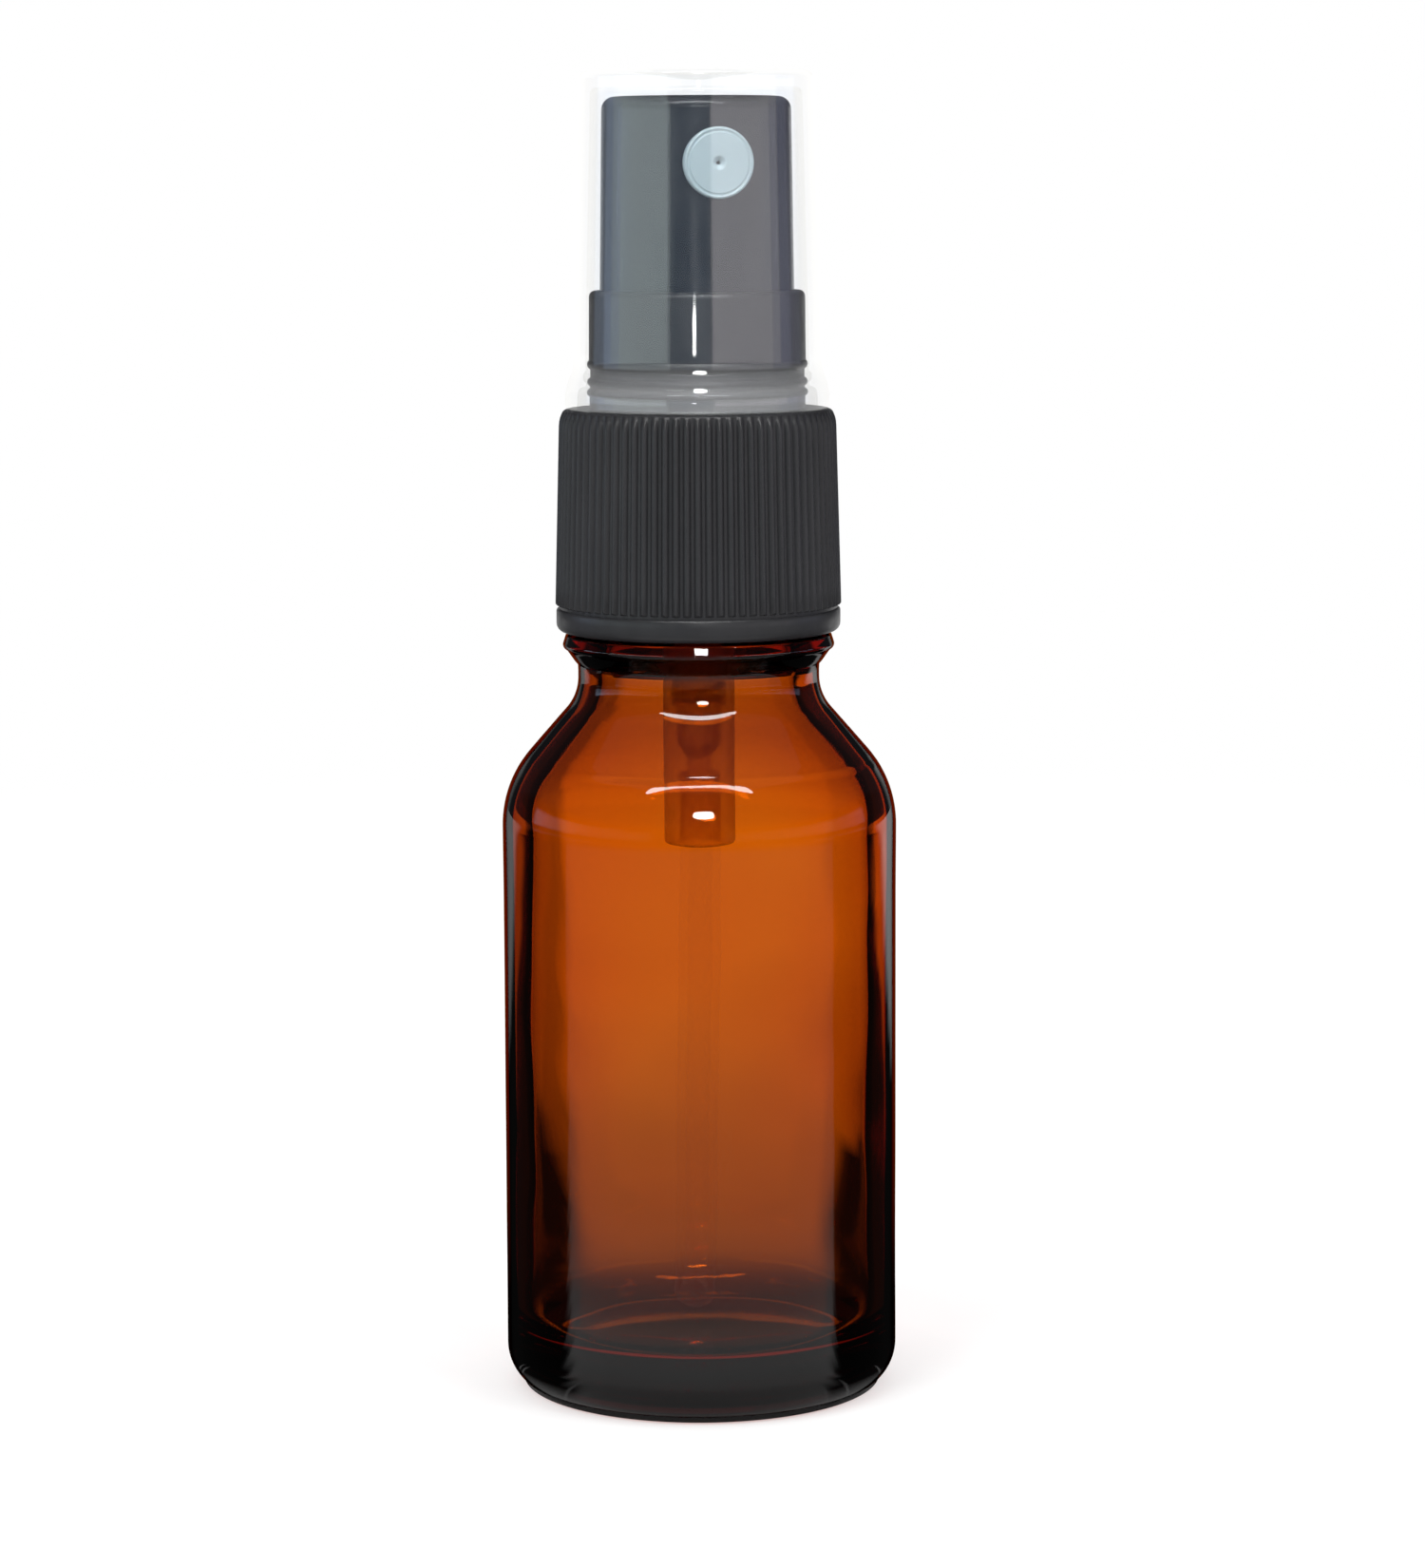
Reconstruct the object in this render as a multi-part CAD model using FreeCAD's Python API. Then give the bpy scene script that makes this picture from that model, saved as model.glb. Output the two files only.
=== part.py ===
"""Pocket fine-mist spray bottle: a round glass bottle with an 18 mm screw neck, a ribbed screw
closure with a smooth collar, a finger pump and a clear overcap.

Units are millimetres. +Z is up. The origin is the centre of the bottle's base, on the plane it
stands on. The nozzle faces -Y at rest. Each sub-part is one solid in its own STEP file.
"""

import FreeCAD, Part
import math
import os

V = FreeCAD.Vector
AXIS = V(0, 0, 1)
O = V(0, 0, 0)
C45 = math.cos(math.radians(45))

# ---------------------------------------------------------------- driving dimensions
# bottle
BODY_R = 14.4            # body radius
GLASS_H = 69.0           # lip height above the base
HEEL_H = 2.9             # height of the rounded heel
FOOT_R = 13.2             # outer radius of the ring it stands on
FOOT_STEP = 0.42         # height of that ring, under the rounded heel
FOOT_RI = 11.5           # inner radius of that ring
PUSH_UP = 1.3            # height of the hollow under the base
SHOULDER_Z = 41.5        # where the straight body ends
SHOULDER_RAD = 8.3       # shoulder radius
SHOULDER_DEG = 41.0      # angle at which the shoulder arc turns into the cone
NECK_R = 8.8             # plain neck under the transfer bead
NECK_FILLET = 3.6        # fillet between shoulder cone and neck
BEAD_R = 9.87            # transfer bead
BEAD_Z0, BEAD_Z1 = 53.4, 55.45
CORE_R = 7.85            # neck wall under the thread
BORE_R = 5.75            # neck bore
BODY_RI = 12.9           # inner radius of the body
WALL = BODY_R - BODY_RI   # the wall keeps this thickness round the shoulder
FLOOR_Z = 3.4            # inner floor height at the wall
# neck thread
PITCH = 3.0
GLASS_CREST_R = 8.88
GLASS_THREAD_Z = 61.7    # centre of the thread where it starts
THREAD_TURNS = 1.25
CLOSURE_CREST_R = 8.14
# closure
SKIRT_Z0 = 55.72
RIB_Z0, RIB_Z1 = 57.62, 71.25
RIB_R0, RIB_R1 = 10.40, 10.03   # crest radius of the ribs, bottom and top
RIB_DEPTH = 0.28
N_RIBS = 80
SKIRT_RI = 9.12
DECK_Z = 71.8            # top of the ribbed part
DECK_UNDER = 70.8
COLLAR_R = 7.84
COLLAR_RI = 7.18
COLLAR_Z = 80.3
FLOOR_HOLE_R = 5.15
# pump
STROKE = 5.0
LOST = 0.8               # lost motion between stem and piston, which opens the outlet
FLANGE_R, FLANGE_Z0, FLANGE_Z1 = 7.78, 70.0, 70.8
CYL_R, CYL_RI = 3.9, 3.0
CYL_Z0 = 60.5            # bottom of the piston bore
CYL_TOP = 75.1
TAIL_R = 2.6             # slim lower housing
CHAMBER_RI = 1.95        # spring chamber
SPRING_Z0, SPRING_Z1 = 50.0, 66.0
BALL_R, BALL_Z = 1.5, 47.435
SEAT_Z = 47.07            # top of the ball's conical seat
BALL_CAGE_R = 1.62
HOUSING_Z0 = 40.0
SOCKET_TOP = 45.0
TUBE_R, TUBE_RI = 1.5, 0.85
TUBE_END_Z, TUBE_BOW = 4.9, 2.4   # height of the foot, and how far the tube curves aside
STEM_R = 1.65
STEM_TOP = 85.3
SOCKET_Z0 = 81.5         # underside of the stem socket, clear of the turret when pressed
# actuator
ACT_Z0, ACT_Z1 = 77.55, 94.1
ACT_R0, ACT_R1 = 7.05, 6.82
NOZZLE_Z = 89.36
NOZZLE_R = 2.55
NOZZLE_FACE_Y = -6.95
# overcap
CAP_Z0, CAP_Z1 = 71.84, 95.9
CAP_R_TOP, CAP_R_LOW = 8.40, 8.93

OUT = "parts"
os.makedirs(OUT, exist_ok=True)


# ---------------------------------------------------------------- helpers
def ring(start, *steps):
    """A solid of revolution about Z. start is (r, z). A step is (r, z) for a line, or
    (rm, zm, r, z) for an arc through (rm, zm). The profile closes itself."""
    edges, here = [], V(start[0], 0, start[1])
    first = here
    for s in steps:
        end = V(s[-2], 0, s[-1])
        if (end - here).Length < 1e-7:
            continue
        if len(s) == 2:
            edges.append(Part.makeLine(here, end))
        else:
            edges.append(Part.Arc(here, V(s[0], 0, s[1]), end).toShape())
        here = end
    if (here - first).Length > 1e-7:
        edges.append(Part.makeLine(here, first))
    face = Part.Face(Part.Wire(edges))
    solid = face.revolve(O, AXIS, 360)
    return tidy(solid)


def tidy(shape):
    solids = shape.Solids
    if len(solids) != 1:
        raise RuntimeError("expected one solid, got %d" % len(solids))
    s = solids[0]
    if s.Volume < 0:
        s.reverse()
    if not s.isValid():
        s.fix(1e-5, 1e-6, 1e-4)
    if not s.isValid():
        raise RuntimeError("a solid isn't valid")
    return s


def cyl(r, z0, z1):
    return Part.makeCylinder(r, z1 - z0, V(0, 0, z0), AXIS)


def cyl_y(r, y_from, y_to, z, x=0.0):
    """A cylinder along Y between two y values."""
    lo, hi = min(y_from, y_to), max(y_from, y_to)
    return Part.makeCylinder(r, hi - lo, V(x, lo, z), V(0, 1, 0))


def thread(root_r, crest_r, root_w, crest_w, z_start, turns, embed, start_deg=0.0):
    """A right-hand helical ridge. root_r is where it joins its wall; embed carries the root
    into the wall, so that the two fuse. Both ends run out into the wall."""
    sign = 1.0 if crest_r > root_r else -1.0
    helix = Part.makeLongHelix(PITCH, PITCH * turns, root_r, 0.0, False)
    helix_wire = Part.Wire(helix.Edges)
    r_in = root_r - sign * embed
    # the flank carried on into the wall keeps its slope
    slope = (root_w - crest_w) / 2.0 / abs(crest_r - root_r)
    w_in = root_w / 2.0 + slope * embed
    pts = [
        V(r_in, 0, -w_in),
        V(crest_r, 0, -crest_w / 2.0),
        V(crest_r, 0, crest_w / 2.0),
        V(r_in, 0, w_in),
    ]
    profile = Part.Wire(Part.makePolygon(pts + [pts[0]]).Edges)
    sweep = helix_wire.makePipeShell([profile], True, True)
    body = sweep.Solids[0] if sweep.Solids else Part.Solid(sweep.Shells[0])
    if body.Volume < 0:
        body.reverse()
    body.rotate(O, AXIS, start_deg)
    body.translate(V(0, 0, z_start))
    return body


def save(name, shape):
    shape = tidy(shape)
    shape.exportStep(os.path.join(OUT, name + ".step"))
    bb = shape.BoundBox
    print(
        "%-14s vol %9.2f mm3  z %.2f..%.2f  faces %d  %s"
        % (name, shape.Volume, bb.ZMin, bb.ZMax, len(shape.Faces), shape.isValid())
    )
    return shape


# ---------------------------------------------------------------- glass bottle
def shoulder(body_r, z0, rad, deg, neck_r, fillet):
    """Steps from the straight body up to the neck: arc, cone, fillet. Each step is (r, z) or (rm, zm, r, z)."""
    a = math.radians(deg)
    cx = body_r - rad
    arc_end = (cx + rad * math.cos(a), z0 + rad * math.sin(a))
    arc_mid = (cx + rad * math.cos(a / 2), z0 + rad * math.sin(a / 2))
    fx = neck_r + fillet
    line_x = fx - fillet * math.cos(a)
    t = (arc_end[0] - line_x) / math.sin(a)
    line_z = arc_end[1] + t * math.cos(a)
    fz = line_z + fillet * math.sin(a)
    fil_mid = (fx - fillet * math.cos(a / 2), fz - fillet * math.sin(a / 2))
    return [
        (arc_mid[0], arc_mid[1], arc_end[0], arc_end[1]),
        (line_x, line_z),
        (fil_mid[0], fil_mid[1], neck_r, fz),
    ]


outer = (
    [
        (FOOT_RI, 0.0),
        (FOOT_R - 0.20, 0.0),
        (FOOT_R - 0.06, 0.06, FOOT_R, 0.20),
        (FOOT_R, FOOT_STEP),
        (FOOT_R + 0.18, FOOT_STEP + 0.08),
        (14.08, 1.45, BODY_R, HEEL_H),
        (BODY_R, SHOULDER_Z),
    ]
    + shoulder(BODY_R, SHOULDER_Z, SHOULDER_RAD, SHOULDER_DEG, NECK_R, NECK_FILLET)
    + [
        (NECK_R, BEAD_Z0 - 0.1),
        (NECK_R + 0.20, BEAD_Z0 + 0.12),
        (BEAD_R - 0.25, BEAD_Z0 + 1.00),
        (BEAD_R - 0.03, BEAD_Z0 + 1.18, BEAD_R, BEAD_Z0 + 1.42),
        (BEAD_R - 0.16, BEAD_Z1 - 0.12),
        (BEAD_R - 0.21, BEAD_Z1 - 0.02, BEAD_R - 0.35, BEAD_Z1),
        (CORE_R + 0.35, BEAD_Z1 + 0.1),
        (CORE_R + 0.08, BEAD_Z1 + 0.18, CORE_R, BEAD_Z1 + 0.45),
        (CORE_R, GLASS_H - 0.75),
        (CORE_R - 0.75 + 0.75 * C45, GLASS_H - 0.75 + 0.75 * C45, CORE_R - 0.75, GLASS_H),
    ]
)
shoulder_in = shoulder(
    BODY_RI, SHOULDER_Z, SHOULDER_RAD - WALL, SHOULDER_DEG, NECK_R - WALL, NECK_FILLET + WALL
)
arc_in, cone_in, fillet_in = shoulder_in
inner = [
    (BORE_R + 0.35, GLASS_H),
    (BORE_R + 0.35 - 0.35 * C45, GLASS_H - 0.35 + 0.35 * C45, BORE_R, GLASS_H - 0.35),
    (BORE_R, 57.0),
    (BORE_R + 0.72, 55.35, NECK_R - WALL, 53.1),
    (NECK_R - WALL, fillet_in[3]),
    (fillet_in[0], fillet_in[1], cone_in[0], cone_in[1]),
    (arc_in[2], arc_in[3]),
    (arc_in[0], arc_in[1], BODY_RI, SHOULDER_Z),
    (BODY_RI, FLOOR_Z + 3.0),
    (BODY_RI - 0.86, FLOOR_Z + 0.92, BODY_RI - 2.9, FLOOR_Z + 0.05),
    (6.4, FLOOR_Z + 0.42, 3.0, FLOOR_Z + 0.62),
    (0.0, FLOOR_Z + 0.62),
]
under = [
    (0.0, PUSH_UP),
    (3.0, PUSH_UP),
    (7.4, PUSH_UP - 0.34, FOOT_RI - 0.5, 0.14),
    (FOOT_RI, 0.0),
]
glass = ring((FOOT_RI, 0.0), *(outer[1:] + inner + under))
glass_thread = thread(
    CORE_R, GLASS_CREST_R, 2.0, 0.9, GLASS_THREAD_Z, THREAD_TURNS, 0.25
)
bottle = save("bottle", glass.fuse(glass_thread))

# ---------------------------------------------------------------- closure
closure_body = ring(
    (9.62, SKIRT_Z0),
    (10.18, SKIRT_Z0 + 0.2, 10.33, SKIRT_Z0 + 0.62),
    (10.33, 57.30),
    (10.12, 57.42),
    (10.12, 57.50),
    (10.20, RIB_Z0),
    (RIB_R1 - RIB_DEPTH, RIB_Z1 + 0.05),
    (9.60, DECK_Z - 0.12, 9.30, DECK_Z),
    (COLLAR_R + 0.12, DECK_Z),
    (COLLAR_R - 0.04, DECK_Z + 0.16),
    (COLLAR_R - 0.04, 73.45),
    (8.00, 73.80, COLLAR_R, 74.15),
    (COLLAR_R, COLLAR_Z - 0.6),
    (COLLAR_R - 0.18, COLLAR_Z - 0.18, COLLAR_R - 0.6, COLLAR_Z)
    if COLLAR_R - 0.6 > COLLAR_RI + 0.05
    else (COLLAR_R - 0.12, COLLAR_Z - 0.14, COLLAR_R - 0.42, COLLAR_Z),
    (COLLAR_RI + 0.12, COLLAR_Z),
    (COLLAR_RI, COLLAR_Z - 0.2),
    (COLLAR_RI, DECK_Z + 0.55),
    (COLLAR_RI - 0.35, DECK_Z + 0.2),
    (FLOOR_HOLE_R, DECK_Z + 0.2),
    (FLOOR_HOLE_R, DECK_UNDER),
    (7.98, DECK_UNDER),
    (7.98, 69.96),
    (7.66, 69.86),
    (7.66, 69.72),
    (8.10, 69.45),
    (SKIRT_RI, 68.6),
    (SKIRT_RI, 57.2),
    (9.28, 56.6),
    (9.38, SKIRT_Z0),
)


def rib_band(z0, z1, r0, r1, depth, n):
    """A closed band whose outside is n ribs, tapering from r0 at z0 to r1 at z1."""
    wires = []
    for z, r in ((z0, r0), (z1, r1)):
        pts = []
        for i in range(n):
            a = 2 * math.pi * i / n
            step = 2 * math.pi / n
            k = r / r0
            for frac, rr in (
                (-0.5, r0 - depth),
                (-0.30, r0 - depth * 0.92),
                (-0.14, r0 - depth * 0.10),
                (0.0, r0),
                (0.14, r0 - depth * 0.10),
                (0.30, r0 - depth * 0.92),
            ):
                b = a + frac * step
                pts.append(V(k * rr * math.cos(b), k * rr * math.sin(b), z))
        pts.append(pts[0])
        wires.append(Part.makePolygon(pts))
    return Part.makeLoft(wires, True, True)


ribs = rib_band(RIB_Z0 + 0.02, RIB_Z1, RIB_R0, RIB_R1, RIB_DEPTH, N_RIBS)
ribs = ribs.cut(cyl(9.55, RIB_Z0 - 1, RIB_Z1 + 1))
# the top ends of the ribs are rounded off by the same cone that rounds the deck edge
rounder = ring(
    (8.0, RIB_Z0 - 1),
    (RIB_R0 + 1.0, RIB_Z0 - 1),
    (RIB_R0 + 1.0, RIB_Z1 - 1.32),
    (RIB_R1 - 0.25, RIB_Z1 + 0.25),
    (8.0, RIB_Z1 + 0.25),
)
ribs = ribs.common(rounder)
closure_thread = thread(
    SKIRT_RI, CLOSURE_CREST_R, 1.5, 0.7,
    GLASS_THREAD_Z - PITCH / 2.0 + 0.12, THREAD_TURNS, 0.25,
)
closure = closure_body.fuse(ribs).fuse(closure_thread)
closure = save("closure", closure.removeSplitter())

# ---------------------------------------------------------------- pump housing
housing = ring(
    (CYL_RI, CYL_TOP),
    (CYL_RI, CYL_Z0 + 0.6),
    (CYL_RI - 0.35, CYL_Z0),
    (CHAMBER_RI, CYL_Z0 - 0.7),
    (CHAMBER_RI, SPRING_Z0),
    (BALL_CAGE_R, SPRING_Z0),
    (BALL_CAGE_R, SEAT_Z),
    (0.85, SEAT_Z - 1.07),
    (0.85, SOCKET_TOP),
    (TUBE_R + 0.01, SOCKET_TOP),
    (TUBE_R + 0.01, HOUSING_Z0 + 0.5),
    (TUBE_R + 0.25, HOUSING_Z0),
    (TAIL_R - 0.3, HOUSING_Z0),
    (TAIL_R - 0.09, HOUSING_Z0 + 0.09, TAIL_R, HOUSING_Z0 + 0.3),
    (TAIL_R, CYL_Z0 - 3.2),
    (CYL_R - 0.25, CYL_Z0 - 1.7),
    (CYL_R, CYL_Z0 - 1.3),
    (CYL_R, FLANGE_Z0 - 0.7),
    (CYL_R + 0.1, FLANGE_Z0 - 0.1, CYL_R + 0.7, FLANGE_Z0),
    (FLANGE_R, FLANGE_Z0),
    (FLANGE_R, FLANGE_Z1),
    (4.3, FLANGE_Z1),
    (4.3, 73.0),
    (4.42, 73.25),
    (4.42, 73.55),
    (4.22, 73.9),
    (4.22, CYL_TOP),
)
# three nubs keep the ball in its cage, and a small hole lets air back into the bottle
for i in range(3):
    nub = Part.makeBox(0.55, 0.62, 0.40, V(1.12, -0.31, SPRING_Z0 - 0.42))
    nub.rotate(O, AXIS, 30 + 120 * i)
    housing = housing.fuse(nub)
vent = Part.makeCylinder(0.3, 3.0, V(2.0, 0, 68.9), V(1, 0, 0))
housing = save("pump_housing", housing.cut(vent))

# ---------------------------------------------------------------- neck gasket
gasket = save(
    "neck_gasket",
    ring(
        (4.75, GLASS_H), (7.45, GLASS_H), (7.52, GLASS_H + 0.08), (7.52, 69.92),
        (7.45, FLANGE_Z0), (4.75, FLANGE_Z0),
    ),
)

# ---------------------------------------------------------------- turret that locks the stem in
turret = save(
    "turret",
    ring(
        (STEM_R + 0.16, 76.2),
        (STEM_R + 0.04, 76.05),
        (STEM_R + 0.04, 75.3),
        (2.22, 75.3),
        (2.22, 71.32),
        (2.88, 71.32),
        (2.96, 71.5),
        (2.96, 75.15),
        (4.30, 75.15),
        (4.30, 73.95),
        (4.48, 73.62),
        (4.48, 73.2),
        (4.36, 72.95),
        (4.36, 71.2),
        (4.5, FLANGE_Z1 + 0.02),
        (5.0, FLANGE_Z1 + 0.02),
        (5.0, 75.6),
        (4.82, 76.02, 4.4, 76.2),
    ),
)

# ---------------------------------------------------------------- stem, a hollow rod
stem = ring(
    (0.62, STEM_TOP),
    (0.62, 72.3),
    (1.0, 71.9),
    (1.0, 68.25),
    (STEM_R, 68.25),
    (STEM_R, 72.05),
    (2.12, 72.05),
    (2.12, 74.95),
    (1.95, 75.12),
    (STEM_R, 75.12),
    (STEM_R, STEM_TOP - 0.25),
    (STEM_R - 0.25, STEM_TOP),
)
# two slots near the foot let the liquid in above the valve pin's head
for i in range(2):
    slot = Part.makeBox(4.4, 0.7, 0.9, V(-2.2, -0.35, 68.2))
    slot.rotate(O, AXIS, 90 * i)
    stem = stem.cut(slot)
stem = save("stem", stem)

# ---------------------------------------------------------------- valve pin under the stem
pin = ring(
    (0.0, 71.6),
    (0.80, 71.6),
    (0.98, 71.35),
    (0.98, 68.0),
    (1.25, 67.62),
    (2.16, 66.82),
    (2.16, SPRING_Z1 + 0.02),
    (1.22, SPRING_Z1 + 0.02),
    (1.22, 64.3),
    (0.85, 63.7),
    (0.0, 63.7),
)
# flats on the pin's upper part leave a way up into the stem
for i in range(2):
    flat = Part.makeBox(3.0, 1.0, 5.0, V(-1.5, 0.72, 67.95))
    flat.rotate(O, AXIS, 180 * i + 45)
    pin = pin.cut(flat)
pin = save("valve_pin", pin)

# ---------------------------------------------------------------- piston
piston = save(
    "piston",
    ring(
        (STEM_R + 0.03, 71.2),
        (STEM_R + 0.03, 67.85),
        (1.80, 67.28),
        (2.05, 67.06),
        (2.28, 67.06),
        (2.28, 68.3),
        (2.60, 67.5),
        (2.97, 67.3),
        (2.97, 67.7),
        (2.62, 68.7),
        (2.62, 70.0),
        (2.97, 70.9),
        (2.97, 71.25),
        (2.72, 71.25),
        (2.35, 70.6),
        (2.15, 70.6),
        (2.15, 71.2),
    ),
)

# ---------------------------------------------------------------- return spring
SPRING_WIRE = 0.20       # wire radius
SPRING_MEAN = 1.58       # mean coil radius
ACTIVE, CLOSED = 9.5, 1.25   # open coils, and closed coils at each end
CLOSED_PITCH = 2 * SPRING_WIRE + 0.05
z0 = SPRING_Z0 + SPRING_WIRE + 0.02
z1 = SPRING_Z1 - SPRING_WIRE - 0.02
open_pitch = (z1 - z0 - 2 * CLOSED * CLOSED_PITCH) / ACTIVE
STEPS = 16


def coil_z(turn):
    """Wire height after so many turns from the bottom; the pitch changes over half a turn."""
    z, here = z0, 0.0
    total = ACTIVE + 2 * CLOSED
    n = int(round(turn * STEPS))
    for i in range(n):
        t = (i + 0.5) / STEPS
        into = min(t, total - t) - CLOSED + 0.25
        k = min(1.0, max(0.0, into / 0.5))
        z += (CLOSED_PITCH + (open_pitch - CLOSED_PITCH) * k * k * (3 - 2 * k)) / STEPS
    return z


total_turns = ACTIVE + 2 * CLOSED
count = int(round(total_turns * STEPS))
pts = []
for i in range(count + 1):
    a = 2 * math.pi * i / STEPS
    pts.append(V(SPRING_MEAN * math.cos(a), SPRING_MEAN * math.sin(a), coil_z(i / STEPS)))
curve = Part.BSplineCurve()
curve.interpolate(pts)
line = Part.Wire([curve.toShape()])
tangent = curve.tangent(curve.FirstParameter)[0]
circle = Part.Wire([Part.Circle(pts[0], tangent, SPRING_WIRE).toShape()])
spring = line.makePipeShell([circle], True, True)
spring = save("main_spring", spring)

# ---------------------------------------------------------------- inlet check ball
ball = save("check_ball", Part.makeSphere(BALL_R, V(0, 0, BALL_Z)))

# ---------------------------------------------------------------- dip tube, slightly bowed
drop = SOCKET_TOP - 0.1 - TUBE_END_Z
straight_z = HOUSING_Z0 - 0.3
bow = straight_z - TUBE_END_Z
bow_r = (bow * bow + TUBE_BOW * TUBE_BOW) / (2 * TUBE_BOW)
mid_a = math.asin(bow / bow_r) / 2
path = Part.Wire(
    [
        Part.makeLine(V(0, 0, SOCKET_TOP - 0.1), V(0, 0, straight_z)),
        Part.Arc(
            V(0, 0, straight_z),
            V(0, bow_r * (1 - math.cos(mid_a)), straight_z - bow_r * math.sin(mid_a)),
            V(0, TUBE_BOW, TUBE_END_Z),
        ).toShape(),
    ]
)


def pipe(r):
    c = Part.Wire([Part.Circle(V(0, 0, SOCKET_TOP - 0.1), V(0, 0, 1), r).toShape()])
    return path.makePipeShell([c], True, True)


tube = pipe(TUBE_R).cut(pipe(TUBE_RI))
# the foot is cut on a slant, so that it can't seal against the floor
wedge = Part.makeBox(20, 20, 6, V(-10, -10, -6))
wedge.rotate(O, V(1, 0, 0), 35)
wedge.translate(V(0, TUBE_BOW - 1.6, TUBE_END_Z + 0.2))
tube = save("dip_tube", tube.cut(wedge))

# ---------------------------------------------------------------- actuator
act = ring(
    (0.0, ACT_Z1 - 0.55),
    (1.2, ACT_Z1 - 0.55),
    (3.5, ACT_Z1 - 0.37, 5.55, ACT_Z1),
    (ACT_R1 - 0.95, ACT_Z1),
    (ACT_R1 - 0.27, ACT_Z1 - 0.26, ACT_R1, ACT_Z1 - 0.95),
    (ACT_R0, ACT_Z0 + 0.15),
    (ACT_R0 - 0.15, ACT_Z0),
    (6.2, ACT_Z0),
    (6.05, ACT_Z0 + 1.2),
    (5.75, ACT_Z1 - 2.2),
    (5.25, ACT_Z1 - 1.7),
    (2.75, ACT_Z1 - 1.7),
    (2.75, SOCKET_Z0 + 0.2),
    (2.55, SOCKET_Z0),
    (STEM_R + 0.25, SOCKET_Z0),
    (STEM_R + 0.02, SOCKET_Z0 + 0.4),
    (STEM_R + 0.02, STEM_TOP + 0.02),
    (0.9, STEM_TOP + 0.02),
    (0.9, 91.45),
    (0.0, 91.45),
)
front_boss = cyl_y(3.45, -6.6, -1.2, NOZZLE_Z).common(cyl(6.6, ACT_Z0, ACT_Z1 - 1.0))
front_boss = front_boss.cut(cyl(0.9, 84.0, 91.45))
act = act.fuse(front_boss)
# pocket for the nozzle insert: a ring-shaped hole round a post
pocket = cyl_y(NOZZLE_R, -9.0, -3.3, NOZZLE_Z).cut(cyl_y(1.30, -6.1, -2.0, NOZZLE_Z))
act = act.cut(pocket)
# the way from the stem's channel to the pocket
act = act.cut(cyl_y(0.45, -3.6, 0.0, NOZZLE_Z + 1.78))
# web behind the stem socket
for side in (90,):
    web = Part.makeBox(4.6, 0.8, 10.0, V(1.9, -0.4, 82.6))
    web.rotate(O, AXIS, side)
    web = web.common(cyl(6.5, 82.6, ACT_Z1 - 1.0))
    act = act.fuse(web)
for x_side in (0, 180):
    web = Part.makeBox(4.6, 0.8, 10.0, V(1.9, -0.4, 82.6))
    web.rotate(O, AXIS, x_side)
    web = web.common(cyl(6.5, 82.6, ACT_Z1 - 1.0)).cut(pocket)
    act = act.fuse(web)
act = save("actuator", act.removeSplitter())

# ---------------------------------------------------------------- nozzle insert
insert = cyl_y(NOZZLE_R - 0.01, NOZZLE_FACE_Y, -3.35, NOZZLE_Z)
edge = [
    e for e in insert.Edges
    if abs(e.BoundBox.YMin - NOZZLE_FACE_Y) < 1e-6 and abs(e.BoundBox.YMax - NOZZLE_FACE_Y) < 1e-6
]
insert = insert.makeFillet(0.12, edge)
insert = insert.cut(cyl_y(1.31, -6.12, -3.0, NOZZLE_Z))
# orifice and its countersink
insert = insert.cut(cyl_y(0.15, -7.5, -5.5, NOZZLE_Z))
insert = insert.cut(
    Part.makeCone(0.42, 0.15, 0.28, V(0, NOZZLE_FACE_Y, NOZZLE_Z), V(0, 1, 0))
)
# feed slots down the bore
for i in range(3):
    feed = Part.makeBox(0.5, 3.0, 0.45, V(-0.25, -6.12, 1.15))
    feed.rotate(V(0, 0, 0), V(0, 1, 0), 120 * i)
    feed.translate(V(0, 0, NOZZLE_Z))
    insert = insert.cut(feed)
insert = save("nozzle_insert", insert)

# ---------------------------------------------------------------- overcap
cap = ring(
    (0.0, CAP_Z1 - 0.62),
    (0.55, CAP_Z1 - 0.62),
    (5.2, CAP_Z1),
    (CAP_R_TOP - 0.42, CAP_Z1),
    (CAP_R_TOP - 0.12, CAP_Z1 - 0.12, CAP_R_TOP, CAP_Z1 - 0.45),
    (CAP_R_LOW, 75.6),
    (CAP_R_LOW + 0.09, 74.88, CAP_R_LOW + 0.29, 74.2),
    (CAP_R_LOW + 0.52, 73.5, CAP_R_LOW + 0.64, 72.8),
    (9.58, CAP_Z0 + 0.12),
    (9.46, CAP_Z0),
    (8.80, CAP_Z0),
    (8.72, CAP_Z0 + 0.15),
    (8.66, 72.95),
    (8.30, 73.35),
    (8.10, 73.40),
    (8.06, 73.58, 8.10, 73.76),
    (8.26, 73.86),
    (8.26, 74.36),
    (8.10, 74.46),
    (8.04, 74.64, 8.08, 74.82),
    (8.10, 75.1),
    (7.98, 80.4),
    (7.62, 94.3),
    (7.50, 94.62, 7.18, 94.72),
    (0.0, 94.72),
)
cap = save("overcap", cap)
print("stroke", STROKE, "piston travel", STROKE - LOST)
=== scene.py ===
import bpy
import bmesh
import math
import random
from mathutils import Matrix, Vector, noise


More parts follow.
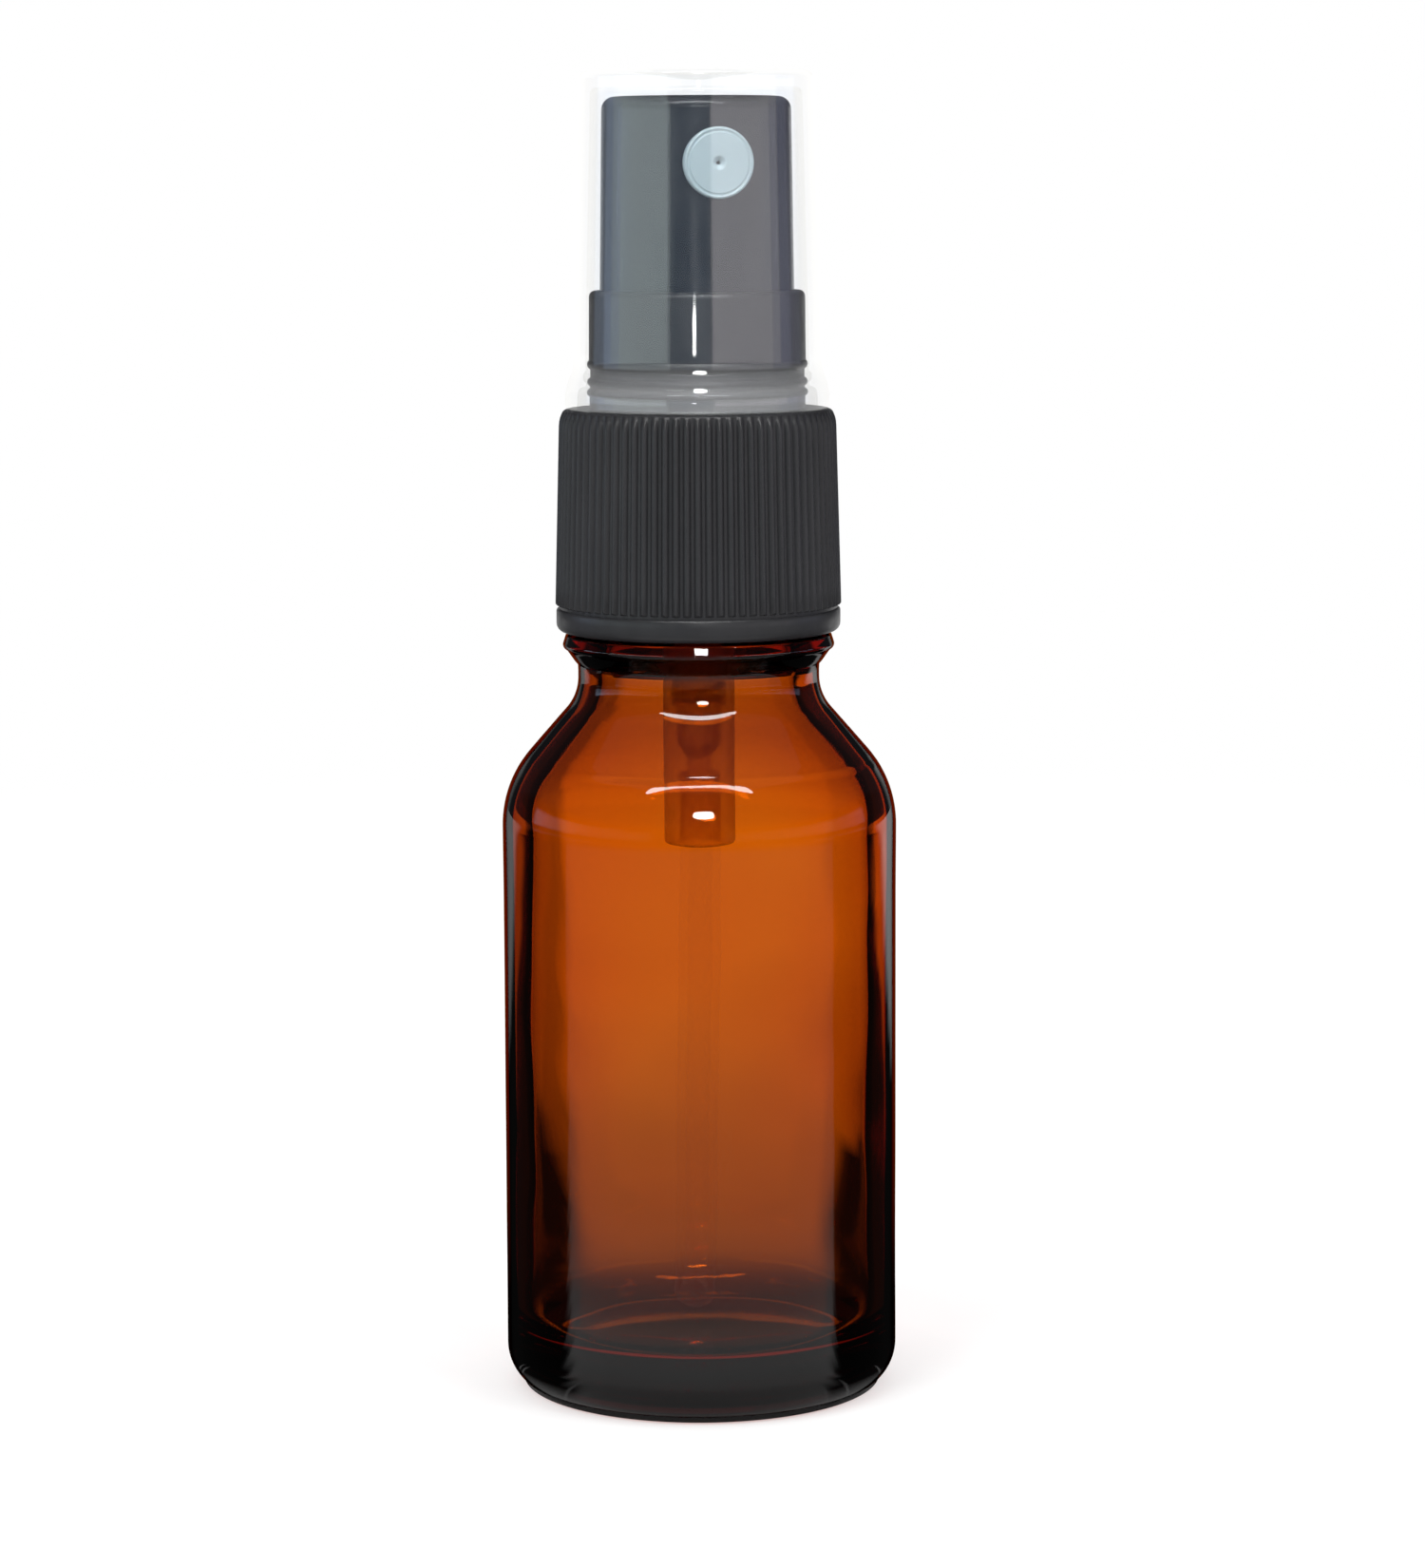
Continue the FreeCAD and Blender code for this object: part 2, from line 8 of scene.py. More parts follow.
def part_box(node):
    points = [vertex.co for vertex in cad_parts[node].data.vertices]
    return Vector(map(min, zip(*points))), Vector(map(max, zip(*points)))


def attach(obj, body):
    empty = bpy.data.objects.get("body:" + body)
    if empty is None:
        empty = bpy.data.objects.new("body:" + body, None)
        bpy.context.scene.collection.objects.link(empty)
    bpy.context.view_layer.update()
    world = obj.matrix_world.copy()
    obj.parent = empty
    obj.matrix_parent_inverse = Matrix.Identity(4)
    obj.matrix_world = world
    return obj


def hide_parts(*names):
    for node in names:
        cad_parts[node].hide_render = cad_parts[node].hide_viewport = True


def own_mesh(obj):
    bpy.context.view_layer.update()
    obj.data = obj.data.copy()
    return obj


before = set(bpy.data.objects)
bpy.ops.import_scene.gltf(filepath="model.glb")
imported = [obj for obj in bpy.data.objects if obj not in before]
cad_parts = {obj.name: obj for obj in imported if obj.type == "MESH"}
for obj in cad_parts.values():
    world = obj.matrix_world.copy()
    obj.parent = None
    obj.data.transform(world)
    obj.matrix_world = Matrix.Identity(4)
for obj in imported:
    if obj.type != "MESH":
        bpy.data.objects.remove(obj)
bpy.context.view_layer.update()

MM = 0.001
random.seed(7)
SIZE_X, SIZE_Y = 1500, 1650

# ---------------------------------------------------------------- places, read from the frame
def lo(n):
    return [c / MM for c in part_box(n)[0]]


def hi(n):
    return [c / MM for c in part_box(n)[1]]


BODY_R = (hi("bottle")[0] - lo("bottle")[0]) / 2
LIP_Z = hi("bottle")[2]
CLO_Z0, CLO_Z1 = lo("closure")[2], hi("closure")[2]
CLO_R = (hi("closure")[0] - lo("closure")[0]) / 2
CAP_Z0, CAP_Z1 = lo("overcap")[2], hi("overcap")[2]
CAP_R = (hi("overcap")[0] - lo("overcap")[0]) / 2
ACT_Z0, ACT_Z1 = lo("actuator")[2], hi("actuator")[2]
ACT_R = (hi("actuator")[0] - lo("actuator")[0]) / 2
NOZ_LO, NOZ_HI = lo("nozzle_insert"), hi("nozzle_insert")
HOU_Z0, HOU_Z1 = lo("pump_housing")[2], hi("pump_housing")[2]
SPR_Z0, SPR_Z1 = lo("main_spring")[2], hi("main_spring")[2]
TUBE_Z0, TUBE_Z1 = lo("dip_tube")[2], hi("dip_tube")[2]

# ---------------------------------------------------------------- mesh helpers
def arc(cx, cz, r, a0, a1, n):
    """Points of an arc in the (radius, height) plane, angles in degrees."""
    out = []
    for i in range(n + 1):
        a = math.radians(a0 + (a1 - a0) * i / n)
        out.append((cx + r * math.cos(a), cz + r * math.sin(a)))
    return out


def arc3(p, q, s, n):
    """Points of the arc from p through q to s."""
    (ax, ay), (bx, by), (cx, cy) = p, q, s
    d = 2 * (ax * (by - cy) + bx * (cy - ay) + cx * (ay - by))
    ux = ((ax * ax + ay * ay) * (by - cy) + (bx * bx + by * by) * (cy - ay) + (cx * cx + cy * cy) * (ay - by)) / d
    uy = ((ax * ax + ay * ay) * (cx - bx) + (bx * bx + by * by) * (ax - cx) + (cx * cx + cy * cy) * (bx - ax)) / d
    r = math.hypot(ax - ux, ay - uy)
    a0 = math.atan2(ay - uy, ax - ux)
    a1 = math.atan2(by - uy, bx - ux)
    a2 = math.atan2(cy - uy, cx - ux)
    def unwrap(base, a, sign):
        while (a - base) * sign < -1e-9:
            a += sign * 2 * math.pi
        return a
    for sign in (1, -1):
        m, e = unwrap(a0, a1, sign), unwrap(a0, a2, sign)
        if (e - m) * sign > -1e-9 and abs(e - a0) <= 2 * math.pi:
            break
    return [(ux + r * math.cos(a0 + (e - a0) * i / n), uy + r * math.sin(a0 + (e - a0) * i / n)) for i in range(n + 1)]


def join(*runs):
    out = []
    for run in runs:
        for p in run:
            if not out or math.hypot(p[0] - out[-1][0], p[1] - out[-1][1]) > 1e-6:
                out.append(p)
    return out


def line(p, q, n=1):
    return [(p[0] + (q[0] - p[0]) * i / n, p[1] + (q[1] - p[1]) * i / n) for i in range(n + 1)]


def mesh_object(name, verts, faces, sharp=32.0):
    me = bpy.data.meshes.new(name)
    me.from_pydata([tuple(c * MM for c in v) for v in verts], [], faces)
    me.validate()
    bm = bmesh.new()
    bm.from_mesh(me)
    bmesh.ops.remove_doubles(bm, verts=bm.verts, dist=1e-8)
    bmesh.ops.recalc_face_normals(bm, faces=bm.faces)
    bm.to_mesh(me)
    bm.free()
    me.polygons.foreach_set("use_smooth", [True] * len(me.polygons))
    me.set_sharp_from_angle(angle=math.radians(sharp))
    ob = bpy.data.objects.new(name, me)
    bpy.context.scene.collection.objects.link(ob)
    return ob


def lathe(name, profile, seg=192, shift=None, sharp=32.0, closed=True):
    """Turns a closed (radius, height) profile about Z. shift(r, z, a) may move a point: it gives (r, z)."""
    verts, rows = [], []
    for r, z in profile:
        if r < 1e-6:
            rows.append([len(verts)] * seg)
            verts.append((0.0, 0.0, z))
            continue
        row = []
        for k in range(seg):
            a = 2 * math.pi * k / seg
            rr, zz = shift(r, z, a) if shift else (r, z)
            row.append(len(verts))
            verts.append((rr * math.cos(a), rr * math.sin(a), zz))
        rows.append(row)
    faces = []
    n = len(rows)
    last = n if closed else n - 1
    for i in range(last):
        a, b = rows[i], rows[(i + 1) % n]
        for k in range(seg):
            k2 = (k + 1) % seg
            f = [a[k], a[k2], b[k2], b[k]]
            f = [v for j, v in enumerate(f) if v != f[j - 1]]
            if len(set(f)) >= 3:
                faces.append(f)
    return mesh_object(name, verts, faces, sharp)


def helix_height(z, a, z_start, pitch, turns):
    """Distance from a right-hand helix's nearest turn, and how far through its run the nearest point is."""
    t = (z - z_start) / pitch - a / (2 * math.pi)
    k = round(t)
    k = min(max(k, 0), int(math.ceil(turns)))
    along = k + a / (2 * math.pi)
    return (z - (z_start + pitch * along)), along / turns


# ---------------------------------------------------------------- pieces
C45 = math.cos(math.radians(45))


def waviness(a, z, amp, fa, fz, seed):
    """Slow unevenness of blown glass: a smooth change of radius round and along the wall."""
    p = Vector((math.cos(a) * fa, math.sin(a) * fa, z * fz + seed))
    return amp * noise.noise(p)


def build_bottle():
    """Blown glass bottle: outer wall, thread, lip and inner wall in one closed skin."""
    R = BODY_R
    foot = 13.2
    outer = join(
        [(11.5, 0.0), (12.0, 0.0)],
        line((12.0, 0.0), (foot - 0.20, 0.0), 2),
        arc3((foot - 0.20, 0.0), (foot - 0.06, 0.06), (foot, 0.20), 5),
        line((foot, 0.20), (foot, 0.42), 2),
        line((foot, 0.42), (foot + 0.18, 0.50), 2),
        arc3((foot + 0.18, 0.50), (14.08, 1.45), (R, 2.9), 14),
        line((R, 2.9), (R, 41.5), 40),
    )
    # shoulder arc, cone, neck fillet
    rad, deg, neck, fil = 8.3, 41.0, 8.8, 3.6
    a = math.radians(deg)
    cx = R - rad
    sh = arc(cx, 41.5, rad, 0, deg, 22)
    ex, ez = sh[-1]
    lx = neck + fil - fil * math.cos(a)
    t = (ex - lx) / math.sin(a)
    lz = ez + t * math.cos(a)
    fz = lz + fil * math.sin(a)
    fillet = [(neck + fil - fil * math.cos(a * (1 - i / 16)), fz - fil * math.sin(a * (1 - i / 16))) for i in range(17)]
    # the same steps a wall's thickness further in
    ri, neck_i, fi, body_i = rad - 1.5, neck - 1.5, fil + 1.5, R - 1.5
    shoulder_in = arc(cx, 41.5, ri, 0, deg, 18)
    lix = neck_i + fi - fi * math.cos(a)
    fiz = fz
    fillet_in = [(neck_i + fi - fi * math.cos(a * i / 14), fiz - fi * math.sin(a * i / 14)) for i in range(15)]
    shoulder_in = shoulder_in[::-1]
    outer = join(
        outer, sh, line((ex, ez), (lx, lz), 5), fillet,
        line((neck, fz), (neck, 53.3), 2),
        line((neck, 53.3), (9.00, 53.52), 2),
        line((9.00, 53.52), (9.62, 54.40), 4),
        arc3((9.62, 54.40), (9.84, 54.58), (9.87, 54.82), 6),
        line((9.87, 54.82), (9.71, 55.33), 4),
        arc3((9.71, 55.33), (9.66, 55.43), (9.52, 55.45), 4),
        line((9.52, 55.45), (8.2, 55.55), 2),
        arc3((8.2, 55.55), (7.93, 55.63), (7.85, 55.9), 5),
        line((7.85, 55.9), (7.85, 58.4), 6),
        line((7.85, 58.4), (7.85, LIP_Z - 0.75), 66),
        arc(7.10, LIP_Z - 0.75, 0.75, 0, 90, 8),
        line((7.10, LIP_Z), (6.10, LIP_Z), 2),
        arc(6.10, LIP_Z - 0.35, 0.35, 90, 180, 5),
        line((5.75, LIP_Z - 0.35), (5.75, 57.0), 8),
        arc3((5.75, 57.0), (6.47, 55.35), (7.3, 53.1), 12),
        line((7.3, 53.1), fillet_in[0], 2),
        fillet_in,
        line(fillet_in[-1], shoulder_in[0], 6),
        shoulder_in,
        line((12.9, 41.5), (12.9, 6.4), 36),
        arc3((12.9, 6.4), (12.04, 4.32), (10.0, 3.45), 12),
        arc3((10.0, 3.45), (6.4, 3.82), (3.0, 4.02), 8),
        [(3.0, 4.02), (1.5, 4.03), (0.0, 4.03)],
    )
    under = join([(0.0, 1.3), (1.5, 1.3), (3.0, 1.3)], arc3((3.0, 1.3), (7.4, 0.96), (11.0, 0.14), 12), [(11.5, 0.0)])
    profile = join(outer, under[::1])[:-1]

    def shift(r, z, ang):
        if 58.3 < z < LIP_Z - 0.7 and r > 7.5:            # the thread
            d, s = helix_height(z, ang, 61.7, 3.0, 1.25)
            if -0.06 < s < 1.06:
                run = min(1.0, max(0.0, (s + 0.06) / 0.10)) * min(1.0, max(0.0, (1.06 - s) / 0.10))
                h = min(1.0, max(0.0, (1.0 - abs(d)) / 0.55))
                r += (8.88 - 7.85) * h * h * (3 - 2 * h) * run
            return r, z
        inside = r < 13.0 and 3.3 < z < 53.0
        if inside and r > 3.0:
            k = min(1.0, (z - 3.3) / 3.0)
            r -= k * (0.05 + waviness(ang, z, 0.13, 1.1, 0.07, 3.0) + waviness(ang, z, 0.05, 2.6, 0.20, 9.0))
        elif r > 13.0 and 4.0 < z < 41.0:
            k = min(1.0, (z - 4.0) / 4.0) * min(1.0, (41.0 - z) / 4.0)
            r -= k * (0.015 + waviness(ang, z, 0.02, 1.6, 0.10, 21.0))
        return r, z

    ob = lathe("bottle_glass", profile, 224, shift, sharp=40.0)
    return ob


def build_closure():
    """Ribbed screw closure with collar. The ribs are real, 80 of them, each with a rounded crest."""
    n_ribs, per = 80, 8
    seg = n_ribs * per
    r0, r1, z0, z1 = 10.40, 10.03, 57.62, 71.25
    depth = 0.28
    outside = join(
        [(9.62, CLO_Z0)],
        arc3((9.62, CLO_Z0), (10.18, CLO_Z0 + 0.2), (10.33, CLO_Z0 + 0.62), 5),
        line((10.33, CLO_Z0 + 0.62), (10.33, 57.22), 2),
        arc3((10.33, 57.22), (10.29, 57.32), (10.12, 57.38), 3),
        [(10.12, 57.52)],
    )
    ribbed_rows = [(57.60, 0.0), (57.66, 0.75), (57.74, 1.0)] + [(57.74 + (70.55 - 57.74) * i / 10, 1.0) for i in range(1, 11)]
    ribbed_rows += [(70.9, 0.92), (71.2, 0.70), (71.45, 0.36), (71.62, 0.08)]
    collar = join(
        arc3((9.72, 71.66), (9.6, 71.74), (9.42, 71.80), 3),
        line((9.42, 71.80), (8.05, 71.80), 3),
        arc3((8.05, 71.80), (7.85, 71.86), (7.80, 72.0), 4),
        line((7.80, 72.0), (7.80, 72.72), 2),
        arc3((7.80, 72.72), (8.00, 73.0), (7.80, 73.26), 6),
        [(7.76, 73.32), (7.76, 73.40)],
        arc3((7.78, 73.45), (7.97, 73.75), (7.76, 74.05), 6),
        [(7.74, 74.12), (7.74, 74.62)],
        arc3((7.78, 74.68), (7.97, 75.0), (7.84, 75.3), 6),
        line((7.84, 75.3), (7.80, CLO_Z1 - 0.5), 6),
        arc(7.80 - 0.46, CLO_Z1 - 0.46, 0.46, 0, 90, 7),
        [(7.30, CLO_Z1)],
        arc3((7.30, CLO_Z1), (7.21, CLO_Z1 - 0.05), (7.18, CLO_Z1 - 0.16), 3),
        line((7.18, CLO_Z1 - 0.2), (7.18, 72.4), 4),
        arc3((7.18, 72.4), (7.07, 72.1), (6.8, 72.0), 4),
        [(5.15, 72.0), (5.15, 70.8), (7.98, 70.8), (7.98, 69.96), (7.66, 69.86), (7.66, 69.72), (8.10, 69.45), (9.12, 68.6)],
        line((9.12, 68.6), (9.12, 57.2), 34),
        [(9.28, 56.6), (9.38, CLO_Z0)],
    )
    verts, rows = [], []

    def row(fn):
        ids = []
        for k in range(seg):
            a = 2 * math.pi * k / seg
            r, z = fn(k, a)
            ids.append(len(verts))
            verts.append((r * math.cos(a), r * math.sin(a), z))
        rows.append(ids)

    def crest(k):
        f = (k % per) / per
        f = min(f, 1 - f) * 2                     # 0 on the crest, 1 in the groove
        return 1.0 - min(1.0, max(0.0, (f - 0.12) / 0.62)) ** 1.4

    for r, z in outside:
        row(lambda k, a, r=r, z=z: (r, z))
    for z, full in ribbed_rows:
        base = r0 + (r1 - r0) * (z - z0) / (z1 - z0)
        def fn(k, a, base=base, full=full, z=z):
            groove = base - depth
            top = base if full >= 1.0 else groove + depth * full
            inner = groove if z < 70.7 else min(groove, 9.72 + (groove - 9.72) * max(0.0, (71.66 - z) / 0.96) ** 0.45)
            if z < 57.7:
                inner = groove
            return (inner + (max(top, inner) - inner) * crest(k), z)
        row(fn)

    def inner_thread(r, z, a):
        if 9.0 < r < 9.2 and 58.0 < z < 68.6:
            d, s = helix_height(z, a, 60.32, 3.0, 1.25)
            if 0.0 < s < 1.0:
                run = min(1.0, s / 0.05) * min(1.0, (1.0 - s) / 0.05)
                h = min(1.0, max(0.0, (0.75 - abs(d)) / 0.4))
                return (r - 0.98 * h * run, z)
        return (r, z)

    for r, z in collar:
        row(lambda k, a, r=r, z=z: inner_thread(r, z, a))
    faces = []
    n = len(rows)
    for i in range(n):
        a, b = rows[i], rows[(i + 1) % n]
        for k in range(seg):
            k2 = (k + 1) % seg
            faces.append([a[k], a[k2], b[k2], b[k]])
    ob = mesh_object("closure_ribbed", verts, faces, 38.0)
    return ob


def build_overcap():
    """Clear overcap: dished top, drafted wall, flared skirt with two inner snap beads."""
    profile = join(
        [(0.0, CAP_Z1 - 0.62), (0.3, CAP_Z1 - 0.62)],
        arc3((0.3, CAP_Z1 - 0.62), (0.5, CAP_Z1 - 0.62), (0.7, CAP_Z1 - 0.60), 2),
        line((0.7, CAP_Z1 - 0.60), (5.0, CAP_Z1 - 0.02), 8),
        arc3((5.0, CAP_Z1 - 0.02), (5.2, CAP_Z1 - 0.004), (5.4, CAP_Z1), 3),
        line((5.4, CAP_Z1), (8.40 - 0.45, CAP_Z1), 3),
        arc(8.40 - 0.45, CAP_Z1 - 0.45, 0.45, 90, 2, 8),
        line((8.40, CAP_Z1 - 0.45), (8.93, 75.6), 24),
        arc3((8.93, 75.6), (9.02, 74.88), (9.22, 74.2), 8),
        arc3((9.22, 74.2), (9.45, 73.5), (9.57, 72.8), 8),
        line((9.57, 72.8), (9.58, CAP_Z0 + 0.2), 2),
        arc3((9.58, CAP_Z0 + 0.2), (9.54, CAP_Z0 + 0.06), (9.42, CAP_Z0), 4),
        line((9.42, CAP_Z0), (8.84, CAP_Z0), 2),
        arc3((8.84, CAP_Z0), (8.75, CAP_Z0 + 0.04), (8.72, CAP_Z0 + 0.15), 3),
        line((8.72, CAP_Z0 + 0.15), (8.66, 72.95), 2),
        arc3((8.66, 72.95), (8.55, 73.2), (8.30, 73.35), 4),
        arc3((8.20, 73.37), (8.05, 73.58), (8.20, 73.80), 6),
        [(8.26, 73.90), (8.26, 74.32)],
        arc3((8.18, 74.42), (8.04, 74.64), (8.12, 74.86), 6),
        line((8.10, 75.1), (7.98, 80.4), 4),
        line((7.98, 80.4), (7.62, 94.3), 14),
        arc3((7.62, 94.3), (7.50, 94.60), (7.18, 94.72), 6),
        line((7.18, 94.72), (0.0, 94.72), 6),
    )
    return lathe("overcap_clear", profile, 192, None, sharp=36.0)


def boolean_cut(ob, cutter):
    m = ob.modifiers.new("cut", "BOOLEAN")
    m.operation = "DIFFERENCE"
    m.solver = "EXACT"
    m.object = cutter
    bpy.context.view_layer.update()
    dg = bpy.context.evaluated_depsgraph_get()
    me = bpy.data.meshes.new_from_object(ob.evaluated_get(dg))
    ob.modifiers.clear()
    ob.data = me
    bpy.data.objects.remove(cutter, do_unlink=True)
    me.polygons.foreach_set("use_smooth", [True] * len(me.polygons))
    me.set_sharp_from_angle(angle=math.radians(32))
    return ob


def turned_to_front(ob, z):
    """Lays a piece that was turned about Z along -Y at height z, its top facing the front."""
    ob.data.transform(Matrix.Translation((0, 0, z * MM)) @ Matrix.Rotation(math.radians(90), 4, "X"))
    return ob


NOZ_Z = (NOZ_LO[2] + NOZ_HI[2]) / 2
NOZ_R = (NOZ_HI[0] - NOZ_LO[0]) / 2
NOZ_FACE = -NOZ_LO[1]
NOZ_BACK = -NOZ_HI[1]


def build_actuator():
    top = ACT_Z1
    profile = join(
        [(0.0, top - 0.55), (0.6, top - 0.55), (1.2, top - 0.55)],
        arc3((1.2, top - 0.55), (3.5, top - 0.37), (5.45, top - 0.02), 10),
        arc3((5.45, top - 0.02), (5.6, top), (5.87, top), 3),
        arc(6.82 - 0.95, top - 0.95, 0.95, 90, 0, 14),
        line((6.82, top - 0.95), (7.05, ACT_Z0 + 0.2), 30),
        arc3((7.05, ACT_Z0 + 0.2), (7.0, ACT_Z0 + 0.06), (6.88, ACT_Z0), 4),
        line((6.88, ACT_Z0), (6.22, ACT_Z0), 2),
        line((6.18, ACT_Z0 + 0.1), (6.05, ACT_Z0 + 1.2), 2),
        line((6.05, ACT_Z0 + 1.2), (5.75, 91.9), 8),
        arc3((5.75, 91.9), (5.6, 92.25), (5.25, 92.4), 4),
        [(2.75, 92.4), (2.75, 81.7), (2.55, 81.5), (1.9, 81.5), (1.67, 81.9), (1.67, 85.32), (0.9, 85.32), (0.9, 91.45), (0.0, 91.45)],
    )
    body = lathe("actuator_button", profile, 192, None, sharp=30.0)
    bore = lathe("cutter_bore", join([(0.0, 3.30), (NOZ_R + 0.01, 3.30), (NOZ_R + 0.01, 6.55)], [(NOZ_R + 0.01, 6.55), (NOZ_R + 0.01, 9.0), (0.0, 9.0)]), 96)
    bore = turned_to_front(bore, NOZ_Z)
    return boolean_cut(body, bore)


def build_nozzle():
    r, f, b = NOZ_R, NOZ_FACE, NOZ_BACK
    profile = join(
        [(0.0, f - 0.83), (0.15, f - 0.83), (0.15, f - 0.30)],
        line((0.15, f - 0.30), (0.42, f - 0.05), 2),
        arc3((0.42, f - 0.05), (0.50, f - 0.01), (0.58, f), 3),
        line((0.58, f), (r - 0.42, f), 4),
        arc3((r - 0.42, f), (r - 0.36, f - 0.05), (r - 0.30, f - 0.06), 3),
        arc3((r - 0.30, f - 0.06), (r - 0.24, f - 0.05), (r - 0.18, f - 0.01), 3),
        arc3((r - 0.16, f), (r - 0.05, f - 0.05), (r, f - 0.16), 5),
        line((r, f - 0.16), (r, b), 3),
        [(1.31, b), (1.31, f - 0.83), (0.8, f - 0.83)],
    )
    ob = lathe("nozzle_disc", profile[:-1] + [(0.8, f - 0.83)], 96, None, sharp=34.0)
    return turned_to_front(ob, NOZ_Z)


def sweep(name, path, radius, around=16, inner=None, sharp=40.0):
    """A round bar or tube along a list of points in mm, closed at its ends."""
    pts = [Vector(p) for p in path]
    n = len(pts)
    tang = [(pts[min(i + 1, n - 1)] - pts[max(i - 1, 0)]).normalized() for i in range(n)]
    up = Vector((1, 0, 0)) if abs(tang[0].x) < 0.9 else Vector((0, 1, 0))
    side = tang[0].cross(up).normalized()
    frames = []
    for i in range(n):
        side = (side - tang[i] * side.dot(tang[i])).normalized()
        frames.append((side.copy(), tang[i].cross(side).normalized()))
    verts, faces = [], []

    def rings(rad):
        rows = []
        for i in range(n):
            u, v = frames[i]
            row = []
            for k in range(around):
                a = 2 * math.pi * k / around
                row.append(len(verts))
                verts.append(tuple(pts[i] + (u * math.cos(a) + v * math.sin(a)) * rad))
            rows.append(row)
        return rows

    def skin(rows):
        for i in range(n - 1):
            a, b = rows[i], rows[i + 1]
            for k in range(around):
                k2 = (k + 1) % around
                faces.append([a[k], a[k2], b[k2], b[k]])

    out = rings(radius)
    skin(out)
    if inner:
        inn = rings(inner)
        skin([row for row in inn])
        for end in (0, n - 1):
            for k in range(around):
                k2 = (k + 1) % around
                faces.append([out[end][k], out[end][k2], inn[end][k2], inn[end][k]])
    else:
        faces.append(out[0][::-1])
        faces.append(out[-1])
    return mesh_object(name, verts, faces, sharp)


def build_spring():
    wire, mean, active, closed = 0.20, 1.58, 9.5, 1.25
    z0, z1 = SPR_Z0 + wire, SPR_Z1 - wire
    low = 2 * wire + 0.05
    high = (z1 - z0 - 2 * closed * low) / active
    total, steps = active + 2 * closed, 20
    path, z = [], z0
    for i in range(int(total * steps) + 1):
        a = 2 * math.pi * i / steps
        path.append((mean * math.cos(a), mean * math.sin(a), min(z, z1)))
        t = (i + 0.5) / steps
        k = min(1.0, max(0.0, (min(t, total - t) - closed + 0.25) / 0.5))
        z += (low + (high - low) * k * k * (3 - 2 * k)) / steps
    return sweep("return_spring", path, wire, 12)


def build_tube():
    bow, straight = hi("dip_tube")[1] - 1.5 + 0.3, 39.7
    foot = TUBE_Z0
    b = straight - foot
    rad = (b * b + bow * bow) / (2 * bow)
    path = [(0, 0, TUBE_Z1 - (TUBE_Z1 - straight) * i / 4) for i in range(5)]
    end = math.asin(b / rad)
    for i in range(1, 25):
        a = end * i / 24
        path.append((0, rad * (1 - math.cos(a)), straight - rad * math.sin(a)))
    ob = sweep("dip_tube_pe", path, 1.5, 40, 0.85)
    # slanted foot: lift the last ring along the cut
    me = ob.data
    limit = (foot + 3.0) * MM
    for v in me.vertices:
        if v.co.z < limit:
            want = foot * MM + max(0.0, (path[-1][1] + 1.6) * MM - v.co.y) * 0.0
            slope = (v.co.y - (path[-1][1] - 1.5) * MM) * 0.62
            cut = foot * MM + 0.0 + slope
            if v.co.z < cut:
                v.co.z = cut
    return ob


def build_housing():
    profile = join(
        [(3.0, HOU_Z1)],
        line((3.0, HOU_Z1), (3.0, 61.1), 8),
        [(2.65, 60.5), (1.95, 59.8), (1.95, 50.0), (1.62, 50.0), (1.62, 47.07), (0.85, 46.0), (0.85, 45.0), (1.51, 45.0), (1.51, 40.5)],
        arc3((1.51, 40.5), (1.6, 40.15), (1.75, HOU_Z0), 3),
        line((1.75, HOU_Z0), (2.3, HOU_Z0), 2),
        arc(2.3, HOU_Z0 + 0.3, 0.3, -90, 0, 5),
        line((2.6, HOU_Z0 + 0.3), (2.6, 57.1), 12),
        arc3((2.6, 57.1), (2.66, 57.5), (2.85, 57.85), 4),
        line((2.85, 57.85), (3.6, 58.75), 3),
        arc3((3.6, 58.75), (3.83, 59.05), (3.9, 59.4), 4),
        line((3.9, 59.4), (3.9, 69.3), 8),
        arc3((3.9, 69.3), (4.08, 69.78), (4.6, 70.0), 5),
        line((4.6, 70.0), (7.70, 70.0), 3),
        arc3((7.70, 70.0), (7.76, 70.03), (7.78, 70.1), 2),
        line((7.78, 70.1), (7.78, 70.72), 2),
        arc3((7.78, 70.72), (7.76, 70.78), (7.70, 70.8), 2),
        line((7.70, 70.8), (4.3, 70.8), 3),
        line((4.3, 70.8), (4.3, 73.0), 3),
        arc3((4.3, 73.0), (4.42, 73.4), (4.22, 73.9), 5),
        line((4.22, 73.9), (4.22, HOU_Z1), 2),
    )
    return lathe("pump_barrel", profile, 96, None, sharp=34.0)


bottle = build_bottle()
closure = build_closure()
overcap = build_overcap()
actuator = build_actuator()
nozzle = build_nozzle()
spring = build_spring()
tube = build_tube()
barrel = build_housing()


# ---------------------------------------------------------------- material helpers
def new_material(name):
    m = bpy.data.materials.new(name)
    m.use_nodes = True
    m.node_tree.nodes.clear()
    return m, m.node_tree


